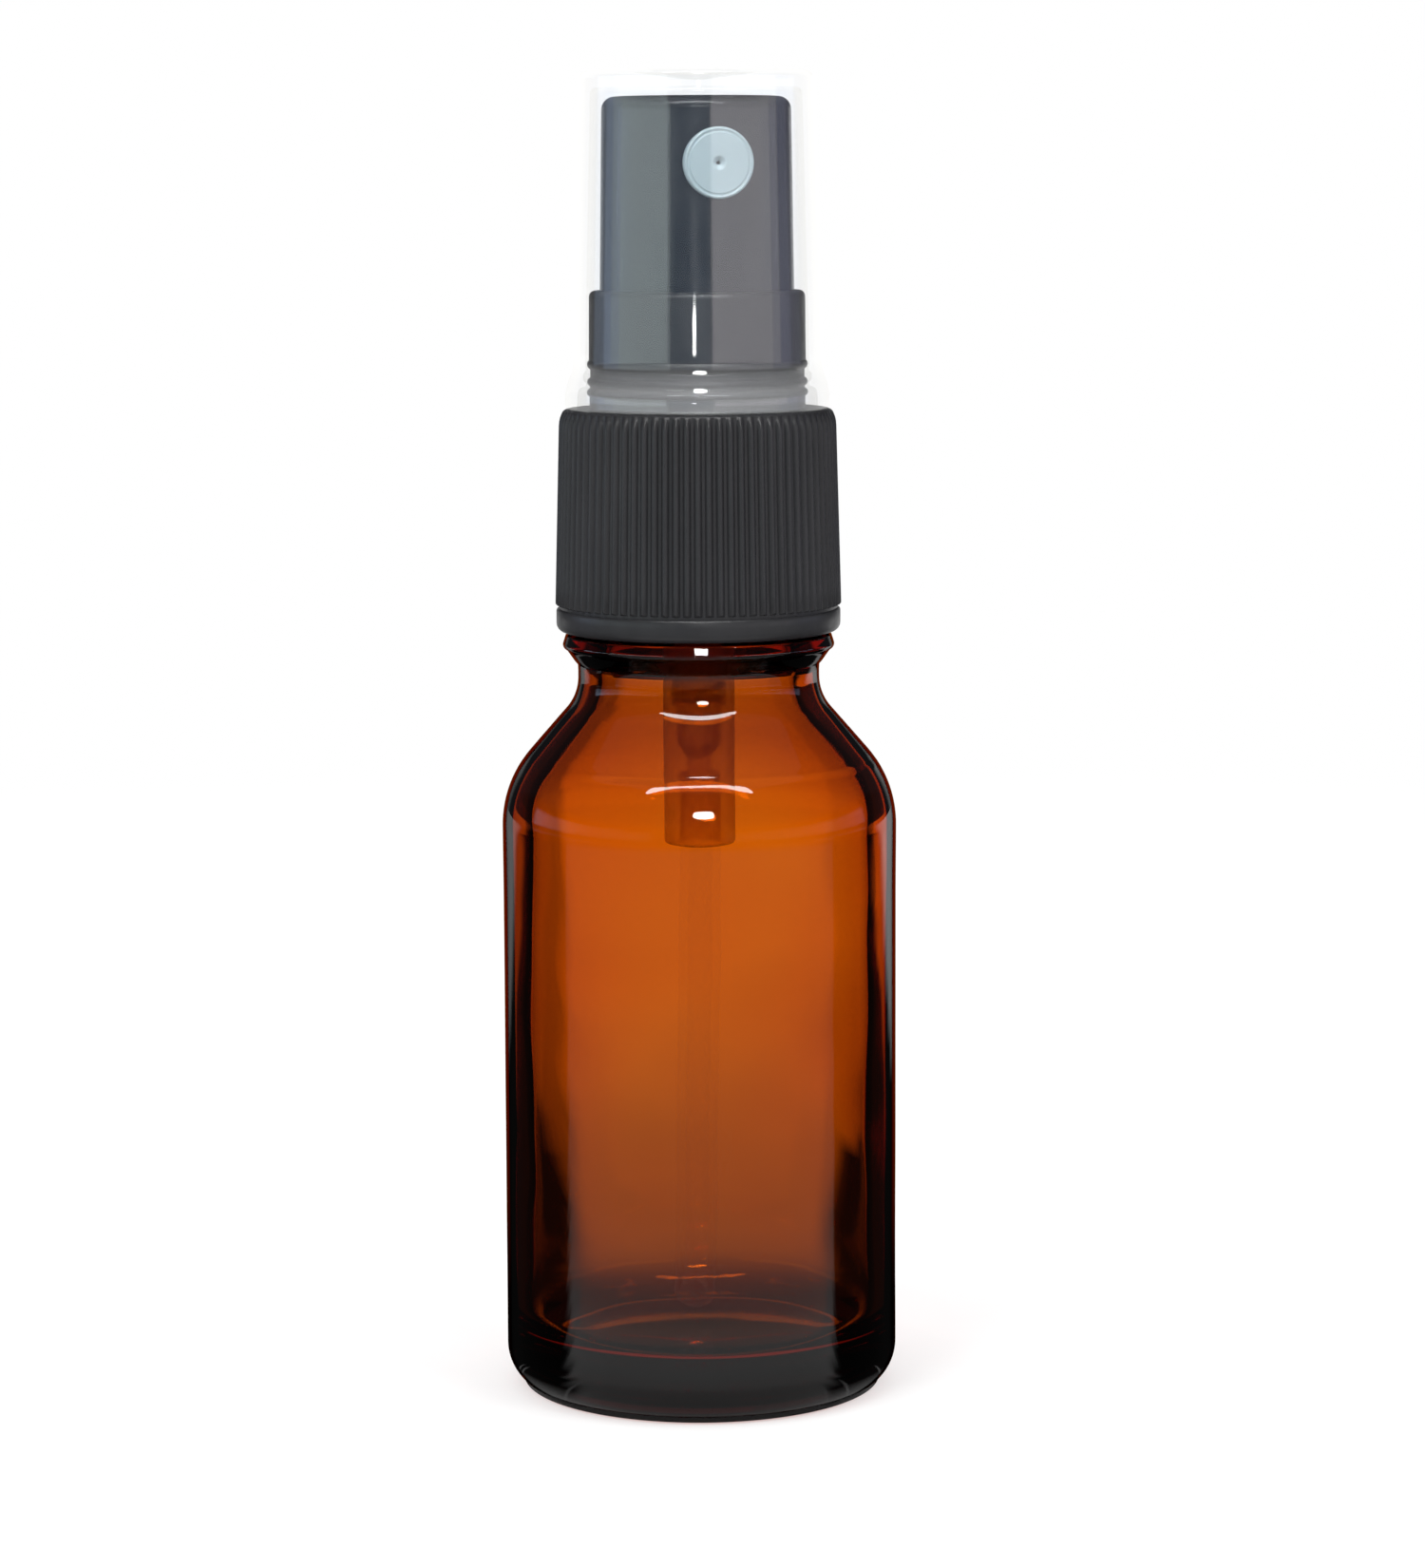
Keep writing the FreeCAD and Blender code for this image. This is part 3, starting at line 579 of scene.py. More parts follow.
class Tree:
    """Short names for building node trees."""

    def __init__(self, nt):
        self.nt = nt
        self.n = nt.nodes
        self.l = nt.links

    def node(self, kind, **props):
        nd = self.n.new(kind)
        for k, v in props.items():
            setattr(nd, k, v)
        return nd

    def link(self, a, b):
        self.l.new(a, b)

    def coords(self, scale=(1, 1, 1), output="Object"):
        tc = self.node("ShaderNodeTexCoord")
        mp = self.node("ShaderNodeMapping")
        mp.inputs["Scale"].default_value = scale
        self.link(tc.outputs[output], mp.inputs["Vector"])
        return mp.outputs["Vector"]

    def noise(self, vec, scale, detail=3.0, rough=0.55):
        nd = self.node("ShaderNodeTexNoise")
        nd.inputs["Scale"].default_value = scale
        nd.inputs["Detail"].default_value = detail
        nd.inputs["Roughness"].default_value = rough
        self.link(vec, nd.inputs["Vector"])
        return nd.outputs["Fac"]

    def ramp(self, fac, stops):
        nd = self.node("ShaderNodeValToRGB")
        cr = nd.color_ramp
        while len(cr.elements) > 1:
            cr.elements.remove(cr.elements[-1])
        first = True
        for pos, col in stops:
            if first:
                e = cr.elements[0]
                e.position = pos
                first = False
            else:
                e = cr.elements.new(pos)
            e.color = tuple(col) + ((1.0,) if len(col) == 3 else ())
        self.link(fac, nd.inputs["Fac"])
        return nd.outputs["Color"]

    def span(self, fac, a, b, c=0.0, d=1.0):
        nd = self.node("ShaderNodeMapRange")
        nd.clamp = True
        for key, v in (("From Min", a), ("From Max", b), ("To Min", c), ("To Max", d)):
            nd.inputs[key].default_value = v
        self.link(fac, nd.inputs["Value"])
        return nd.outputs["Result"]

    def maths(self, op, a, b=None):
        nd = self.node("ShaderNodeMath", operation=op)
        for i, v in enumerate((a, b)):
            if v is None:
                continue
            if isinstance(v, (int, float)):
                nd.inputs[i].default_value = v
            else:
                self.link(v, nd.inputs[i])
        return nd.outputs[0]

    def bump(self, height, strength, distance):
        nd = self.node("ShaderNodeBump")
        nd.inputs["Strength"].default_value = strength
        nd.inputs["Distance"].default_value = distance
        self.link(height, nd.inputs["Height"])
        return nd.outputs["Normal"]

    def principled(self, **values):
        nd = self.node("ShaderNodeBsdfPrincipled")
        for k, v in values.items():
            nd.inputs[k].default_value = v
        return nd

    def output(self, surface, volume=None):
        out = self.node("ShaderNodeOutputMaterial")
        self.link(surface, out.inputs["Surface"])
        if volume is not None:
            self.link(volume, out.inputs["Volume"])
        return out


def moulded_plastic(name, colour, rough=(0.30, 0.42), grain=0.25, spec=0.5, tint=0.12, coat=0.0, scuffs=0.15, sss=0.0):
    """Injection-moulded plastic: fine skin grain, slow flow marks, rubbed spots."""
    m, nt = new_material(name)
    t = Tree(nt)
    vec = t.coords()
    flow = t.noise(t.coords((1.0, 1.0, 0.25)), 160.0, 4.0, 0.6)
    fine = t.noise(vec, 5200.0, 2.0, 0.6)
    mid = t.noise(vec, 900.0, 3.0, 0.55)
    dark = [c * (1 - tint) for c in colour]
    light = [min(1.0, c * (1 + tint)) for c in colour]
    col = t.ramp(flow, [(0.30, dark), (0.72, light)])
    p = t.principled(**{"Specular IOR Level": spec, "IOR": 1.49, "Coat Weight": coat, "Coat Roughness": 0.12})
    t.link(col, p.inputs["Base Color"])
    r = t.span(mid, 0.3, 0.7, rough[0], rough[1])
    rub = t.span(t.noise(t.coords((1.0, 1.0, 0.4)), 420.0, 5.0, 0.7), 0.62, 0.74, 0.0, scuffs)
    t.link(t.maths("ADD", r, rub), p.inputs["Roughness"])
    if grain > 0:
        t.link(t.bump(t.maths("ADD", fine, t.maths("MULTIPLY", mid, 0.6)), grain, 0.00002), p.inputs["Normal"])
    if sss > 0:
        p.inputs["Subsurface Weight"].default_value = sss
        p.inputs["Subsurface Radius"].default_value = (0.0010, 0.0009, 0.0008)
        p.inputs["Subsurface Scale"].default_value = 1.0
    t.output(p.outputs["BSDF"])
    return m


def amber_glass():
    m, nt = new_material("amber_glass")
    t = Tree(nt)
    vec = t.coords((1.0, 1.0, 0.35))
    slow = t.noise(vec, 95.0, 2.0, 0.5)
    seeds = t.noise(t.coords(), 800.0, 2.0, 0.5)
    p = t.principled(**{
        "Transmission Weight": 1.0, "IOR": 1.52, "Specular IOR Level": 0.5,
    })
    col = t.ramp(slow, [(0.25, (0.985, 0.965, 0.94)), (0.75, (1.0, 0.99, 0.975))])
    t.link(t.span(seeds, 0.35, 0.7, 0.0, 0.02), p.inputs["Roughness"])
    t.link(t.bump(slow, 0.09, 0.0004), p.inputs["Normal"])
    face = t.node("ShaderNodeLayerWeight")
    face.inputs["Blend"].default_value = 0.5
    up = t.node("ShaderNodeSeparateXYZ")
    t.link(t.coords(), up.inputs["Vector"])
    # painted shade in the reflections: a mask dims what the glass mirrors on the turn into the shoulder and into the
    # neck
    z_low = t.maths("SUBTRACT", up.outputs["Z"], t.maths("MULTIPLY", t.span(face.outputs["Facing"], 0.10, 0.50), 0.0014))
    painted_dim_reflection = t.maths("MULTIPLY", t.span(up.outputs["Z"], 0.0414, 0.0418), t.span(z_low, 0.0429, 0.0434, 1.0, 0.0))
    painted_dim_reflection = t.maths("ADD", painted_dim_reflection, t.maths("MULTIPLY", t.span(up.outputs["Z"], 0.0516, 0.0519), t.span(up.outputs["Z"], 0.0523, 0.0526, 1.0, 0.0)))
    painted_dim_reflection = t.maths("MULTIPLY", painted_dim_reflection, t.span(face.outputs["Facing"], 0.64, 0.82, 1.0, 0.0))
    # painted shade: Specular Tint falls to 0.08 inside the mask
    t.link(t.span(painted_dim_reflection, 0.0, 1.0, 1.0, 0.08), p.inputs["Specular Tint"])
    # the thicker glass of the shoulder and neck is deeper in colour; the last sliver of the round wall, at the
    # silhouette, gets painted shade: its colour goes dark there and its IOR falls to 1, so it mirrors nothing
    deep = t.ramp(up.outputs["Z"], [(0.0430, (1.0, 1.0, 1.0)), (0.0470, (0.80, 0.73, 0.96)), (0.0530, (0.76, 0.76, 1.0)), (0.0560, (0.95, 0.93, 1.0))])
    painted_dark_edge = t.ramp(face.outputs["Facing"], [(0.60, (1.0, 1.0, 1.0)), (0.80, (0.17, 0.08, 0.05))])
    t.link(t.span(face.outputs["Facing"], 0.66, 0.82, 1.52, 1.0), p.inputs["IOR"])
    for extra in (deep, painted_dark_edge):
        tint = t.node("ShaderNodeMix", data_type="RGBA", blend_type="MULTIPLY")
        tint.inputs["Factor"].default_value = 1.0
        t.link(col, tint.inputs[6])
        t.link(extra, tint.inputs[7])
        col = tint.outputs[2]
    t.link(col, p.inputs["Base Color"])
    see = t.node("ShaderNodeBsdfTransparent")
    see.inputs["Color"].default_value = (0.80, 0.42, 0.14, 1)
    lp = t.node("ShaderNodeLightPath")
    mix = t.node("ShaderNodeMixShader")
    t.link(lp.outputs["Is Shadow Ray"], mix.inputs[0])
    t.link(p.outputs["BSDF"], mix.inputs[1])
    t.link(see.outputs["BSDF"], mix.inputs[2])
    vol = t.node("ShaderNodeVolumeAbsorption")
    vol.inputs["Color"].default_value = (0.928, 0.671, 0.02, 1)
    vol.inputs["Density"].default_value = 2150.0
    t.output(mix.outputs["Shader"], vol.outputs["Volume"])
    return m


def clear_polypropylene():
    """Clear moulded PP: sight straight through, a mirror skin that fades towards the edges, a faint milky veil."""
    m, nt = new_material("clear_pp")
    t = Tree(nt)
    haze = t.noise(t.coords((1.0, 1.0, 0.3)), 210.0, 4.0, 0.6)
    p = t.principled(**{"IOR": 1.0, "Coat IOR": 1.49, "Coat Roughness": 0.02})
    t.link(t.span(haze, 0.3, 0.7, 0.0, 0.02), p.inputs["Roughness"])
    face = t.node("ShaderNodeLayerWeight")
    face.inputs["Blend"].default_value = 0.5
    t.link(t.span(face.outputs["Facing"], 0.30, 0.70, 1.0, 0.12), p.inputs["Coat Weight"])
    t.link(t.ramp(face.outputs["Facing"], [(0.30, (0.975, 0.99, 1.0)), (0.50, (0.995, 0.998, 1.0)), (0.75, (1.0, 0.998, 0.985))]), p.inputs["Base Color"])
    where = t.node("ShaderNodeSeparateXYZ")
    t.link(t.coords(), where.inputs["Vector"])
    skirt = t.span(where.outputs["Z"], (CAP_Z0 + 3.6) * MM, (CAP_Z0 + 1.6) * MM, 0.0, 0.088)
    milk = t.maths("ADD", t.span(haze, 0.3, 0.7, 0.006, 0.016), skirt)
    t.link(t.maths("SUBTRACT", 1.0, milk), p.inputs["Transmission Weight"])
    see = t.node("ShaderNodeBsdfTransparent")
    see.inputs["Color"].default_value = (0.95, 0.96, 0.97, 1)
    lp = t.node("ShaderNodeLightPath")
    mix = t.node("ShaderNodeMixShader")
    t.link(lp.outputs["Is Shadow Ray"], mix.inputs[0])
    t.link(p.outputs["BSDF"], mix.inputs[1])
    t.link(see.outputs["BSDF"], mix.inputs[2])
    t.output(mix.outputs["Shader"])
    return m


def translucent_plastic(name, colour, body, gloss=(0.22, 0.36)):
    """Natural polyolefin: a milky wall that lets much of the light through. body is how solid it looks."""
    m, nt = new_material(name)
    t = Tree(nt)
    cloud = t.noise(t.coords((1.0, 1.0, 0.3)), 420.0, 4.0, 0.6)
    p = t.principled(**{"IOR": 1.50, "Specular IOR Level": 0.5})
    t.link(t.ramp(cloud, [(0.3, [c * 0.93 for c in colour]), (0.7, colour)]), p.inputs["Base Color"])
    t.link(t.span(cloud, 0.3, 0.7, gloss[0], gloss[1]), p.inputs["Roughness"])
    t.link(t.bump(t.noise(t.coords(), 2600.0, 2.0, 0.5), 0.08, 0.00003), p.inputs["Normal"])
    fr = t.node("ShaderNodeLayerWeight")
    fr.inputs["Blend"].default_value = 0.35
    alpha = t.maths("ADD", t.maths("MULTIPLY", fr.outputs["Facing"], 0.5 * body), t.span(cloud, 0.3, 0.7, body * 0.75, body))
    t.link(alpha, p.inputs["Alpha"])
    t.output(p.outputs["BSDF"])
    return m


def spring_steel():
    m, nt = new_material("spring_steel")
    t = Tree(nt)
    drawn = t.noise(t.coords((1.0, 1.0, 6.0)), 2600.0, 3.0, 0.6)
    p = t.principled(**{"Metallic": 1.0})
    t.link(t.ramp(drawn, [(0.3, (0.42, 0.43, 0.45)), (0.7, (0.66, 0.67, 0.69))]), p.inputs["Base Color"])
    t.link(t.span(drawn, 0.3, 0.7, 0.18, 0.36), p.inputs["Roughness"])
    t.link(t.bump(drawn, 0.2, 0.00001), p.inputs["Normal"])
    t.output(p.outputs["BSDF"])
    return m


def ball_glass():
    m, nt = new_material("check_ball_glass")
    t = Tree(nt)
    n = t.noise(t.coords(), 1500.0, 2.0, 0.5)
    p = t.principled(**{"Transmission Weight": 1.0, "IOR": 1.50})
    t.link(t.ramp(n, [(0.3, (0.86, 0.92, 0.90)), (0.7, (0.94, 0.97, 0.96))]), p.inputs["Base Color"])
    t.link(t.span(n, 0.3, 0.7, 0.0, 0.06), p.inputs["Roughness"])
    t.output(p.outputs["BSDF"])
    return m


MAT = {
    "amber_glass": amber_glass(),
    "black_pp": moulded_plastic("black_pp", (0.020, 0.020, 0.022), rough=(0.30, 0.42), grain=0.10, tint=0.25),
    "black_pp_button": moulded_plastic("black_pp_button", (0.016, 0.017, 0.020), rough=(0.15, 0.22), grain=0.0, spec=0.35, tint=0.2, scuffs=0.05),
    "clear_pp": clear_polypropylene(),
    "white_pom": moulded_plastic("white_pom", (0.45, 0.555, 0.585), rough=(0.28, 0.40), grain=0.15, tint=0.03, sss=0.15),
    "natural_pp": moulded_plastic("natural_pp", (0.62, 0.62, 0.58), rough=(0.32, 0.46), grain=0.15, tint=0.05, sss=0.2),
    "tube_pe": translucent_plastic("tube_pe", (0.55, 0.52, 0.45), 0.035),
    "barrel_pp": translucent_plastic("barrel_pp", (0.92, 0.89, 0.78), 0.42),
    "natural_pe": moulded_plastic("natural_pe", (0.66, 0.66, 0.62), rough=(0.36, 0.50), grain=0.15, tint=0.05, sss=0.2),
    "gasket_pe": moulded_plastic("gasket_pe", (0.66, 0.66, 0.62), rough=(0.70, 0.85), grain=0.9, tint=0.08),
    "spring_steel": spring_steel(),
    "glass_ball": ball_glass(),
}


def dress(ob, key):
    ob.data.materials.clear()
    ob.data.materials.append(MAT[key])


def place(ob, key, slot, body, *nodes):
    dress(ob, key)
    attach(ob, body)
    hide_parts(*nodes)


place(bottle, "amber_glass", "amber_glass", "glass", "bottle")
place(closure, "black_pp", "black_pp", "screw_ring", "closure")
place(overcap, "clear_pp", "clear_pp", "cap", "overcap")
place(actuator, "black_pp_button", "black_pp", "button", "actuator")
place(nozzle, "white_pom", "white_pom", "button", "nozzle_insert")
place(spring, "spring_steel", "spring_steel", "pump", "main_spring")
place(tube, "tube_pe", "natural_pe", "pump", "dip_tube")
place(barrel, "barrel_pp", "natural_pp", "pump", "pump_housing")
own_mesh(spring)

for node, key in (("stem", "white_pom"), ("valve_pin", "natural_pp"), ("piston", "natural_pe"), ("turret", "natural_pp"),
                  ("neck_gasket", "gasket_pe"), ("check_ball", "glass_ball")):
    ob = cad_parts[node]
    for s in ob.material_slots:
        s.material = MAT[key]

# ---------------------------------------------------------------- camera
CAM_D, CAM_H, CAM_PITCH, CAM_F = 0.3247, 0.0884, 7.72, 4714.7
CAM_AZ = 13.5            # the nozzle faces this far to the right of the viewer
AXIS_PX, ROLL = 736.0, -0.26
cam_data = bpy.data.cameras.new("camera")
cam = bpy.data.objects.new("camera", cam_data)
bpy.context.scene.collection.objects.link(cam)
bpy.context.scene.camera = cam
cam_data.sensor_width = 36.0
cam_data.lens = CAM_F / SIZE_Y * 36.0
cam_data.shift_x = (SIZE_X / 2 - AXIS_PX) / SIZE_Y
cam_data.clip_start = 0.01
cam_data.clip_end = 50.0
az = math.radians(CAM_AZ)
rot = Matrix.Rotation(-az, 4, "Z") @ Matrix.Rotation(math.radians(90 - CAM_PITCH), 4, "X") @ Matrix.Rotation(math.radians(ROLL), 4, "Z")
cam.matrix_world = Matrix.Translation((-math.sin(az) * CAM_D, -math.cos(az) * CAM_D, CAM_H)) @ rot

# ---------------------------------------------------------------- studio
def stage_mesh(name, verts, faces):
    me = bpy.data.meshes.new(name)
    me.from_pydata(verts, [], faces)
    ob = bpy.data.objects.new(name, me)
    bpy.context.scene.collection.objects.link(ob)
    return ob


def rays(ob, camera=False, diffuse=False, glossy=False, transmission=False, shadow=False, scatter=False):
    ob.visible_camera = camera
    ob.visible_diffuse = diffuse
    ob.visible_glossy = glossy
    ob.visible_transmission = transmission
    ob.visible_shadow = shadow
    ob.visible_volume_scatter = scatter


# the rig turns with the camera, as the lights do round an object on a turntable
rig = bpy.data.objects.new("light_rig", None)
bpy.context.scene.collection.objects.link(rig)
track = rig.constraints.new("LOCKED_TRACK")
track.target = cam
track.track_axis = "TRACK_NEGATIVE_Y"
track.lock_axis = "LOCK_Z"


def smooth(x, a, b):
    t = min(1.0, max(0.0, (x - a) / (b - a)))
    return t * t * (3 - 2 * t)


def box_window(x, a, b, soft):
    return smooth(x, a - soft, a + soft) * (1 - smooth(x, b - soft, b + soft))


def wrap_light(az, z):
    """Colour of the studio wall seen from the bottle. az 0 is towards the camera, positive to its right; z in metres."""
    back = 180 - abs(az)
    side = 0.85 if az > 0 else 0.5
    band = smooth(z, 0.045, 0.065) * (1 - smooth(z, 0.150, 0.180))
    low = 1 - smooth(z, 0.13, 0.18)
    c = [0.03, 0.03, 0.035]

    def lay(colour, k):
        for i in range(3):
            c[i] = max(c[i], colour[i] * k)

    lay((1.42, 1.38, 1.46), band * box_window(az, 14.5, 84.0, 1.0))
    lay((1.42, 1.68, 1.72), band * box_window(az, -88.0, -27.5, 1.0))
    lay((0.07, 0.15, 0.26), band * box_window(az, -28.5, 15.5, 1.0))
    lay((0.85, 1.08, 1.45), band * box_window(az, -112.0, -86.0, 2.0))
    lay((0.48, 0.50, 0.74), band * box_window(az, 82.0, 112.0, 2.0))
    lay((0.30, 0.30, 0.32), (1 - smooth(z, 0.010, 0.030)) * box_window(az, -112.0, 112.0, 2.0))
    lay((1.06, 1.06, 1.06), low * (1 - smooth(back, 9.0, 13.0)))
    lay((side, side, side), low * (1 - smooth(back, 22.0, 34.0)))
    return tuple(c)


# glow of the bench behind the bottle by distance in mm: the bottle's shadow is painted in, dim near the bottle and
# brightening away from it
BENCH_BACK_PAINTED_SHADOW = [(0, 0.01), (14, 0.022), (27, 0.25), (45, 0.42), (82, 0.56), (128, 0.82), (184, 1.0), (300, 1.05), (1000, 1.06)]
BENCH_FRONT = [(0, 0.0), (13.05, 0.0), (13.25, 0.33), (18, 0.42), (27, 0.64), (36, 0.74), (46, 0.52), (80, 0.34), (182, 0.18), (400, 0.16), (480, 0.17), (520, 0.5), (560, 0.7), (750, 0.7)]
NEAR = [(0, 9.5), (14, 10.6), (27, 12.6), (45, 15.4), (82, 22), (120, 30), (1000, 177)]
SIDE_LEFT = [(0, 9.5), (14, 10.6), (27, 12.6), (45, 15.4), (82, 27), (120, 78), (176, 170), (247, 300), (345, 450), (1000, 900)]
SIDE_RIGHT = [(0, 9.5), (14, 10.6), (27, 12.6), (45, 15.4), (82, 28), (120, 92), (176, 200), (247, 350), (345, 500), (1000, 900)]


def bench_light(x, y):
    """Brightness of the bench top as mirrors and glass see it. y is away from the camera; metres."""
    d = math.hypot(x, y) / MM
    # painted shade: the bench glows black right under the bottle
    if d < 13.1:
        return 0.0
    if y > 0:
        yy, xx = y / MM, abs(x) / MM
        side = 0.85 if x > 0 else 0.5
        w1 = ramp_of(NEAR, yy)
        w2 = ramp_of(SIDE_RIGHT if x > 0 else SIDE_LEFT, yy)
        wide = max(1 - smooth(xx, w1 * 0.8, w1 * 1.25), side * (1 - smooth(xx, w2 * 0.8, w2 * 1.2)))
        return max(ramp_of(BENCH_BACK_PAINTED_SHADOW, yy) * wide, 0.012)
    # the pale part of the bench in front ends along a line just ahead of the bottle
    edge = 10.7 + 0.105 * max(0.0, abs(x) / MM - 9.65)
    ahead = 1.0 if d < 15.5 else smooth(-y / MM, edge - 0.8, edge + 0.8)
    return max(ramp_of(BENCH_FRONT, d) * ahead, 0.012)


def ramp_of(table, v):
    for (a, fa), (b, fb) in zip(table, table[1:]):
        if v <= b:
            return fa + (fb - fa) * max(0.0, v - a) / (b - a)
    return table[-1][1]


def build_wrap():
    rad, seg = 0.75, 360
    heights = [0.0, 0.01, 0.02, 0.03, 0.04, 0.05, 0.06, 0.07, 0.1, 0.115, 0.1225, 0.13, 0.14, 0.15, 0.165, 0.18, 0.3, 0.6, 0.9]
    verts, faces, cols = [], [], []
    for h in heights:
        for k in range(seg):
            a = -180.0 + 360.0 * k / seg
            r = math.radians(a)
            verts.append((rad * math.sin(r), -rad * math.cos(r), h))
            cols.append(wrap_light(a, h))
    for i in range(len(heights) - 1):
        for k in range(seg):
            k2 = (k + 1) % seg
            faces.append((i * seg + k2, i * seg + k, (i + 1) * seg + k, (i + 1) * seg + k2))
    top = len(verts)
    ob = stage_mesh("studio_wrap", verts, faces)
    at = ob.data.color_attributes.new("glow", "FLOAT_COLOR", "POINT")
    for i, c in enumerate(cols):
        at.data[i].color = c + (1,)
    m, nt = new_material("studio_glow")
    t = Tree(nt)
    src = t.node("ShaderNodeAttribute", attribute_name="glow")
    em = t.node("ShaderNodeEmission")
    t.link(src.outputs["Color"], em.inputs["Color"])
    t.output(em.outputs["Emission"])
    m.cycles.emission_sampling = "NONE"
    ob.data.materials.append(m)
    rays(ob, glossy=True, transmission=True)
    ob.parent = rig
    return ob


wrap = build_wrap()


def glow_shape(name, outline, strength, dist=0.6, at=(0, 0, 0.045)):
    """A small glowing panel seen from the bottle. The outline runs along (azimuth, elevation) pairs in degrees."""
    c = Vector(at)
    verts, n = [], len(outline)
    for az_, el in outline:
        a, e = math.radians(az_), math.radians(el)
        verts.append(tuple(c + Vector((math.sin(a) * math.cos(e), -math.cos(a) * math.cos(e), math.sin(e))) * dist))
    half = n // 2
    faces = [(0, 1, n - 1)] + [(i, i + 1, n - i - 1, n - i) for i in range(1, half - 1)] + [(half - 1, half, half + 1)]
    ob = stage_mesh(name, verts, faces)
    m, nt = new_material(name + "_glow")
    t = Tree(nt)
    em = t.node("ShaderNodeEmission")
    em.inputs["Strength"].default_value = strength
    t.output(em.outputs["Emission"])
    ob.data.materials.append(m)
    rays(ob, glossy=True, transmission=True)
    ob.parent = rig
    return ob


def oval(az_, el, wide, tall, power=2.6, n=32):
    out = []
    for i in range(n):
        a = 2 * math.pi * i / n
        ca, sa = math.cos(a), math.sin(a)
        k = (abs(ca) ** power + abs(sa) ** power) ** (-1 / power)
        out.append((az_ + wide / 2 * k * ca, el + tall / 2 * k * sa))
    return out


def bow(lateral, el, drop, tall, n=48):
    """A long thin panel overhead whose ends come forward and lower, and taper."""
    out = []
    for i in range(n):
        a = 2 * math.pi * i / n
        u, v = math.cos(a), math.sin(a)
        side_angle = math.radians(lateral * u)
        e = math.radians(el - drop * u * u + tall / 2 * v * (1 if abs(u) < 1 else 0))
        d = Vector((math.sin(side_angle), -math.cos(side_angle) * math.cos(e), math.cos(side_angle) * math.sin(e)))
        out.append((math.degrees(math.atan2(d.x, -d.y)), math.degrees(math.asin(d.z))))
    return out


glow_shape("front_box", oval(2.5, 27.0, 13.0, 7.5), 30.0)
glow_shape("top_box", bow(27.0, 62.0, 9.0, 11.0), 13.0)
glow_shape("flash", oval(-2.6, 1.0, 3.4, 1.0, 4.0), 25.0, 0.4, (0, 0, 0.0785))

# pale floor that melts into the pale background
def disc(name, radius, z, seg=96, ringsn=24):
    verts, faces = [(0, 0, z)], []
    for i in range(1, ringsn + 1):
        r = radius * (i / ringsn) ** 1.6
        for k in range(seg):
            a = 2 * math.pi * k / seg
            verts.append((r * math.cos(a), r * math.sin(a), z))
    for k in range(seg):
        faces.append((0, 1 + k, 1 + (k + 1) % seg))
    for i in range(ringsn - 1):
        for k in range(seg):
            k2 = (k + 1) % seg
            faces.append((1 + i * seg + k, 1 + (i + 1) * seg + k, 1 + (i + 1) * seg + k2, 1 + i * seg + k2))
    return stage_mesh(name, verts, faces)


floor = disc("floor", 1.2, -0.00012)
m, nt = new_material("floor_pale")
t = Tree(nt)
vec = t.coords()
d = t.node("ShaderNodeVectorMath", operation="LENGTH")
t.link(vec, d.inputs[0])
fade = t.span(d.outputs["Value"], 0.10, 0.34, 0.0, 1.0)
df = t.node("ShaderNodeBsdfPrincipled")
df.inputs["Roughness"].default_value = 0.9
df.inputs["Specular IOR Level"].default_value = 0.0
# painted light: the floor glows evenly, which lifts the bottle's cast shadow on it
df.inputs["Emission Color"].default_value = (1, 1, 1, 1)
df.inputs["Emission Strength"].default_value = 0.45
t.link(t.ramp(t.noise(vec, 60.0, 3.0), [(0.3, (0.50, 0.50, 0.50)), (0.7, (0.53, 0.53, 0.53))]), df.inputs["Base Color"])
tr = t.node("ShaderNodeBsdfTransparent")
mx = t.node("ShaderNodeMixShader")
t.link(fade, mx.inputs[0])
t.link(df.outputs["BSDF"], mx.inputs[1])
t.link(tr.outputs["BSDF"], mx.inputs[2])
t.output(mx.outputs["Shader"])
floor.data.materials.append(m)
rays(floor, camera=True, diffuse=True, shadow=True)

def build_bench():
    """The bench top for mirrors and glass only: bright far behind, pale in front, with the bottle's shadow painted into
    its glow near the bottle.
    """
    rings_mm = [0, 8, 13.0, 13.3, 15.5, 19, 24, 30, 38, 46, 56, 68, 82, 98, 116, 136, 160, 190, 225, 270, 330, 410, 475, 520, 560, 640, 764]
    seg = 240
    verts, faces, cols = [(0, 0, -0.00006)], [], [bench_light(0, 0.0001)]
    for r in rings_mm[1:]:
        for k in range(seg):
            a = 2 * math.pi * k / seg + 1e-4
            x, y = r * MM * math.cos(a), r * MM * math.sin(a)
            verts.append((x, y, -0.00006))
            cols.append(bench_light(x, y))
    for k in range(seg):
        faces.append((0, 1 + k, 1 + (k + 1) % seg))
    for i in range(len(rings_mm) - 2):
        for k in range(seg):
            k2 = (k + 1) % seg
            faces.append((1 + i * seg + k, 1 + (i + 1) * seg + k, 1 + (i + 1) * seg + k2, 1 + i * seg + k2))
    ob = stage_mesh("bench_glow", verts, faces)
    at = ob.data.color_attributes.new("glow", "FLOAT_COLOR", "POINT")
    for i, c in enumerate(cols):
        at.data[i].color = (c, c, c, 1)
    ob.data.materials.append(bpy.data.materials["studio_glow"])
    rays(ob, glossy=True, transmission=True)
    ob.parent = rig
    return ob


build_bench()

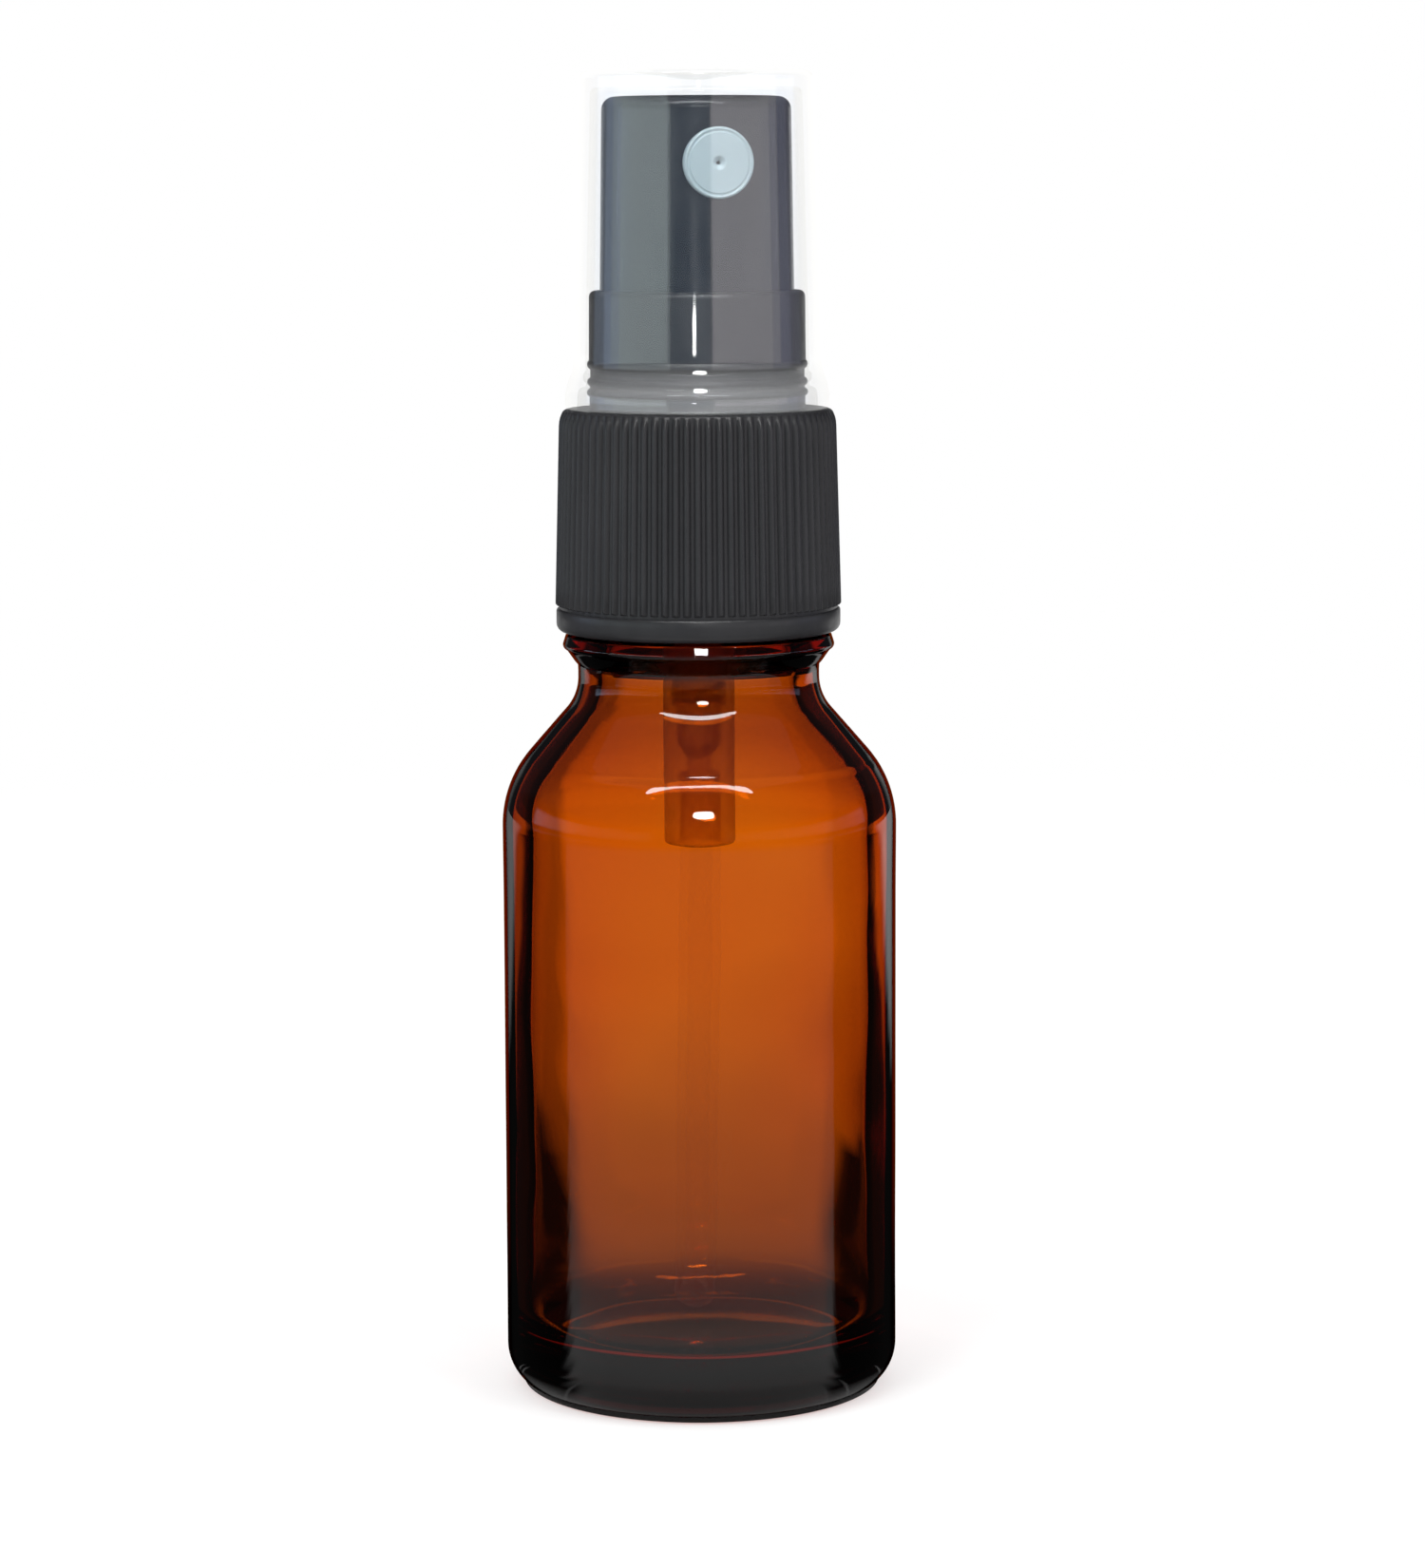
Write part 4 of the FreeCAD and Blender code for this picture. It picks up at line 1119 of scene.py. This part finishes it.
# world: pale to the eye and for soft light, dim in mirrors and through glass, where the studio wall takes over
world = bpy.data.worlds.new("studio")
bpy.context.scene.world = world
world.use_nodes = True
world.node_tree.nodes.clear()
t = Tree(world.node_tree)
lp = t.node("ShaderNodeLightPath")
dim = t.maths("MAXIMUM", lp.outputs["Is Glossy Ray"], lp.outputs["Is Transmission Ray"])
dim = t.maths("MULTIPLY", dim, t.maths("SUBTRACT", 1.0, lp.outputs["Is Camera Ray"]))
bg_pale = t.node("ShaderNodeBackground")
bg_pale.inputs["Color"].default_value = (1.0, 1.0, 1.0, 1)
bg_pale.inputs["Strength"].default_value = 1.0
bg_dim = t.node("ShaderNodeBackground")
bg_dim.inputs["Color"].default_value = (0.75, 0.85, 1.0, 1)
bg_dim.inputs["Strength"].default_value = 0.12
mx = t.node("ShaderNodeMixShader")
t.link(dim, mx.inputs[0])
t.link(bg_pale.outputs["Background"], mx.inputs[1])
t.link(bg_dim.outputs["Background"], mx.inputs[2])
out = t.node("ShaderNodeOutputWorld")
t.link(mx.outputs["Shader"], out.inputs["Surface"])


def area_lamp(name, where, size, power, target=(0, 0, 0.05)):
    ld = bpy.data.lights.new(name, "AREA")
    ld.shape = "RECTANGLE"
    ld.size, ld.size_y = size
    ld.energy = power
    ob = bpy.data.objects.new(name, ld)
    bpy.context.scene.collection.objects.link(ob)
    ob.location = where
    ob.rotation_euler = (Vector(target) - Vector(where)).to_track_quat("-Z", "Y").to_euler()
    ob.parent = rig
    ob.visible_camera = False
    ob.visible_glossy = False
    ob.visible_transmission = False
    return ob


area_lamp("key_soft", (-0.45, -0.55, 0.65), (0.5, 0.5), 4.0)
area_lamp("fill_soft", (0.55, -0.35, 0.55), (0.5, 0.5), 2.5)

sc = bpy.context.scene
sc.view_settings.view_transform = "Standard"
sc.view_settings.look = "None"
sc.cycles.max_bounces = 32
sc.cycles.transmission_bounces = 24
sc.cycles.transparent_max_bounces = 24
sc.cycles.glossy_bounces = 10
sc.cycles.diffuse_bounces = 3
sc.cycles.sample_clamp_indirect = 8.0
sc.cycles.use_denoising = True
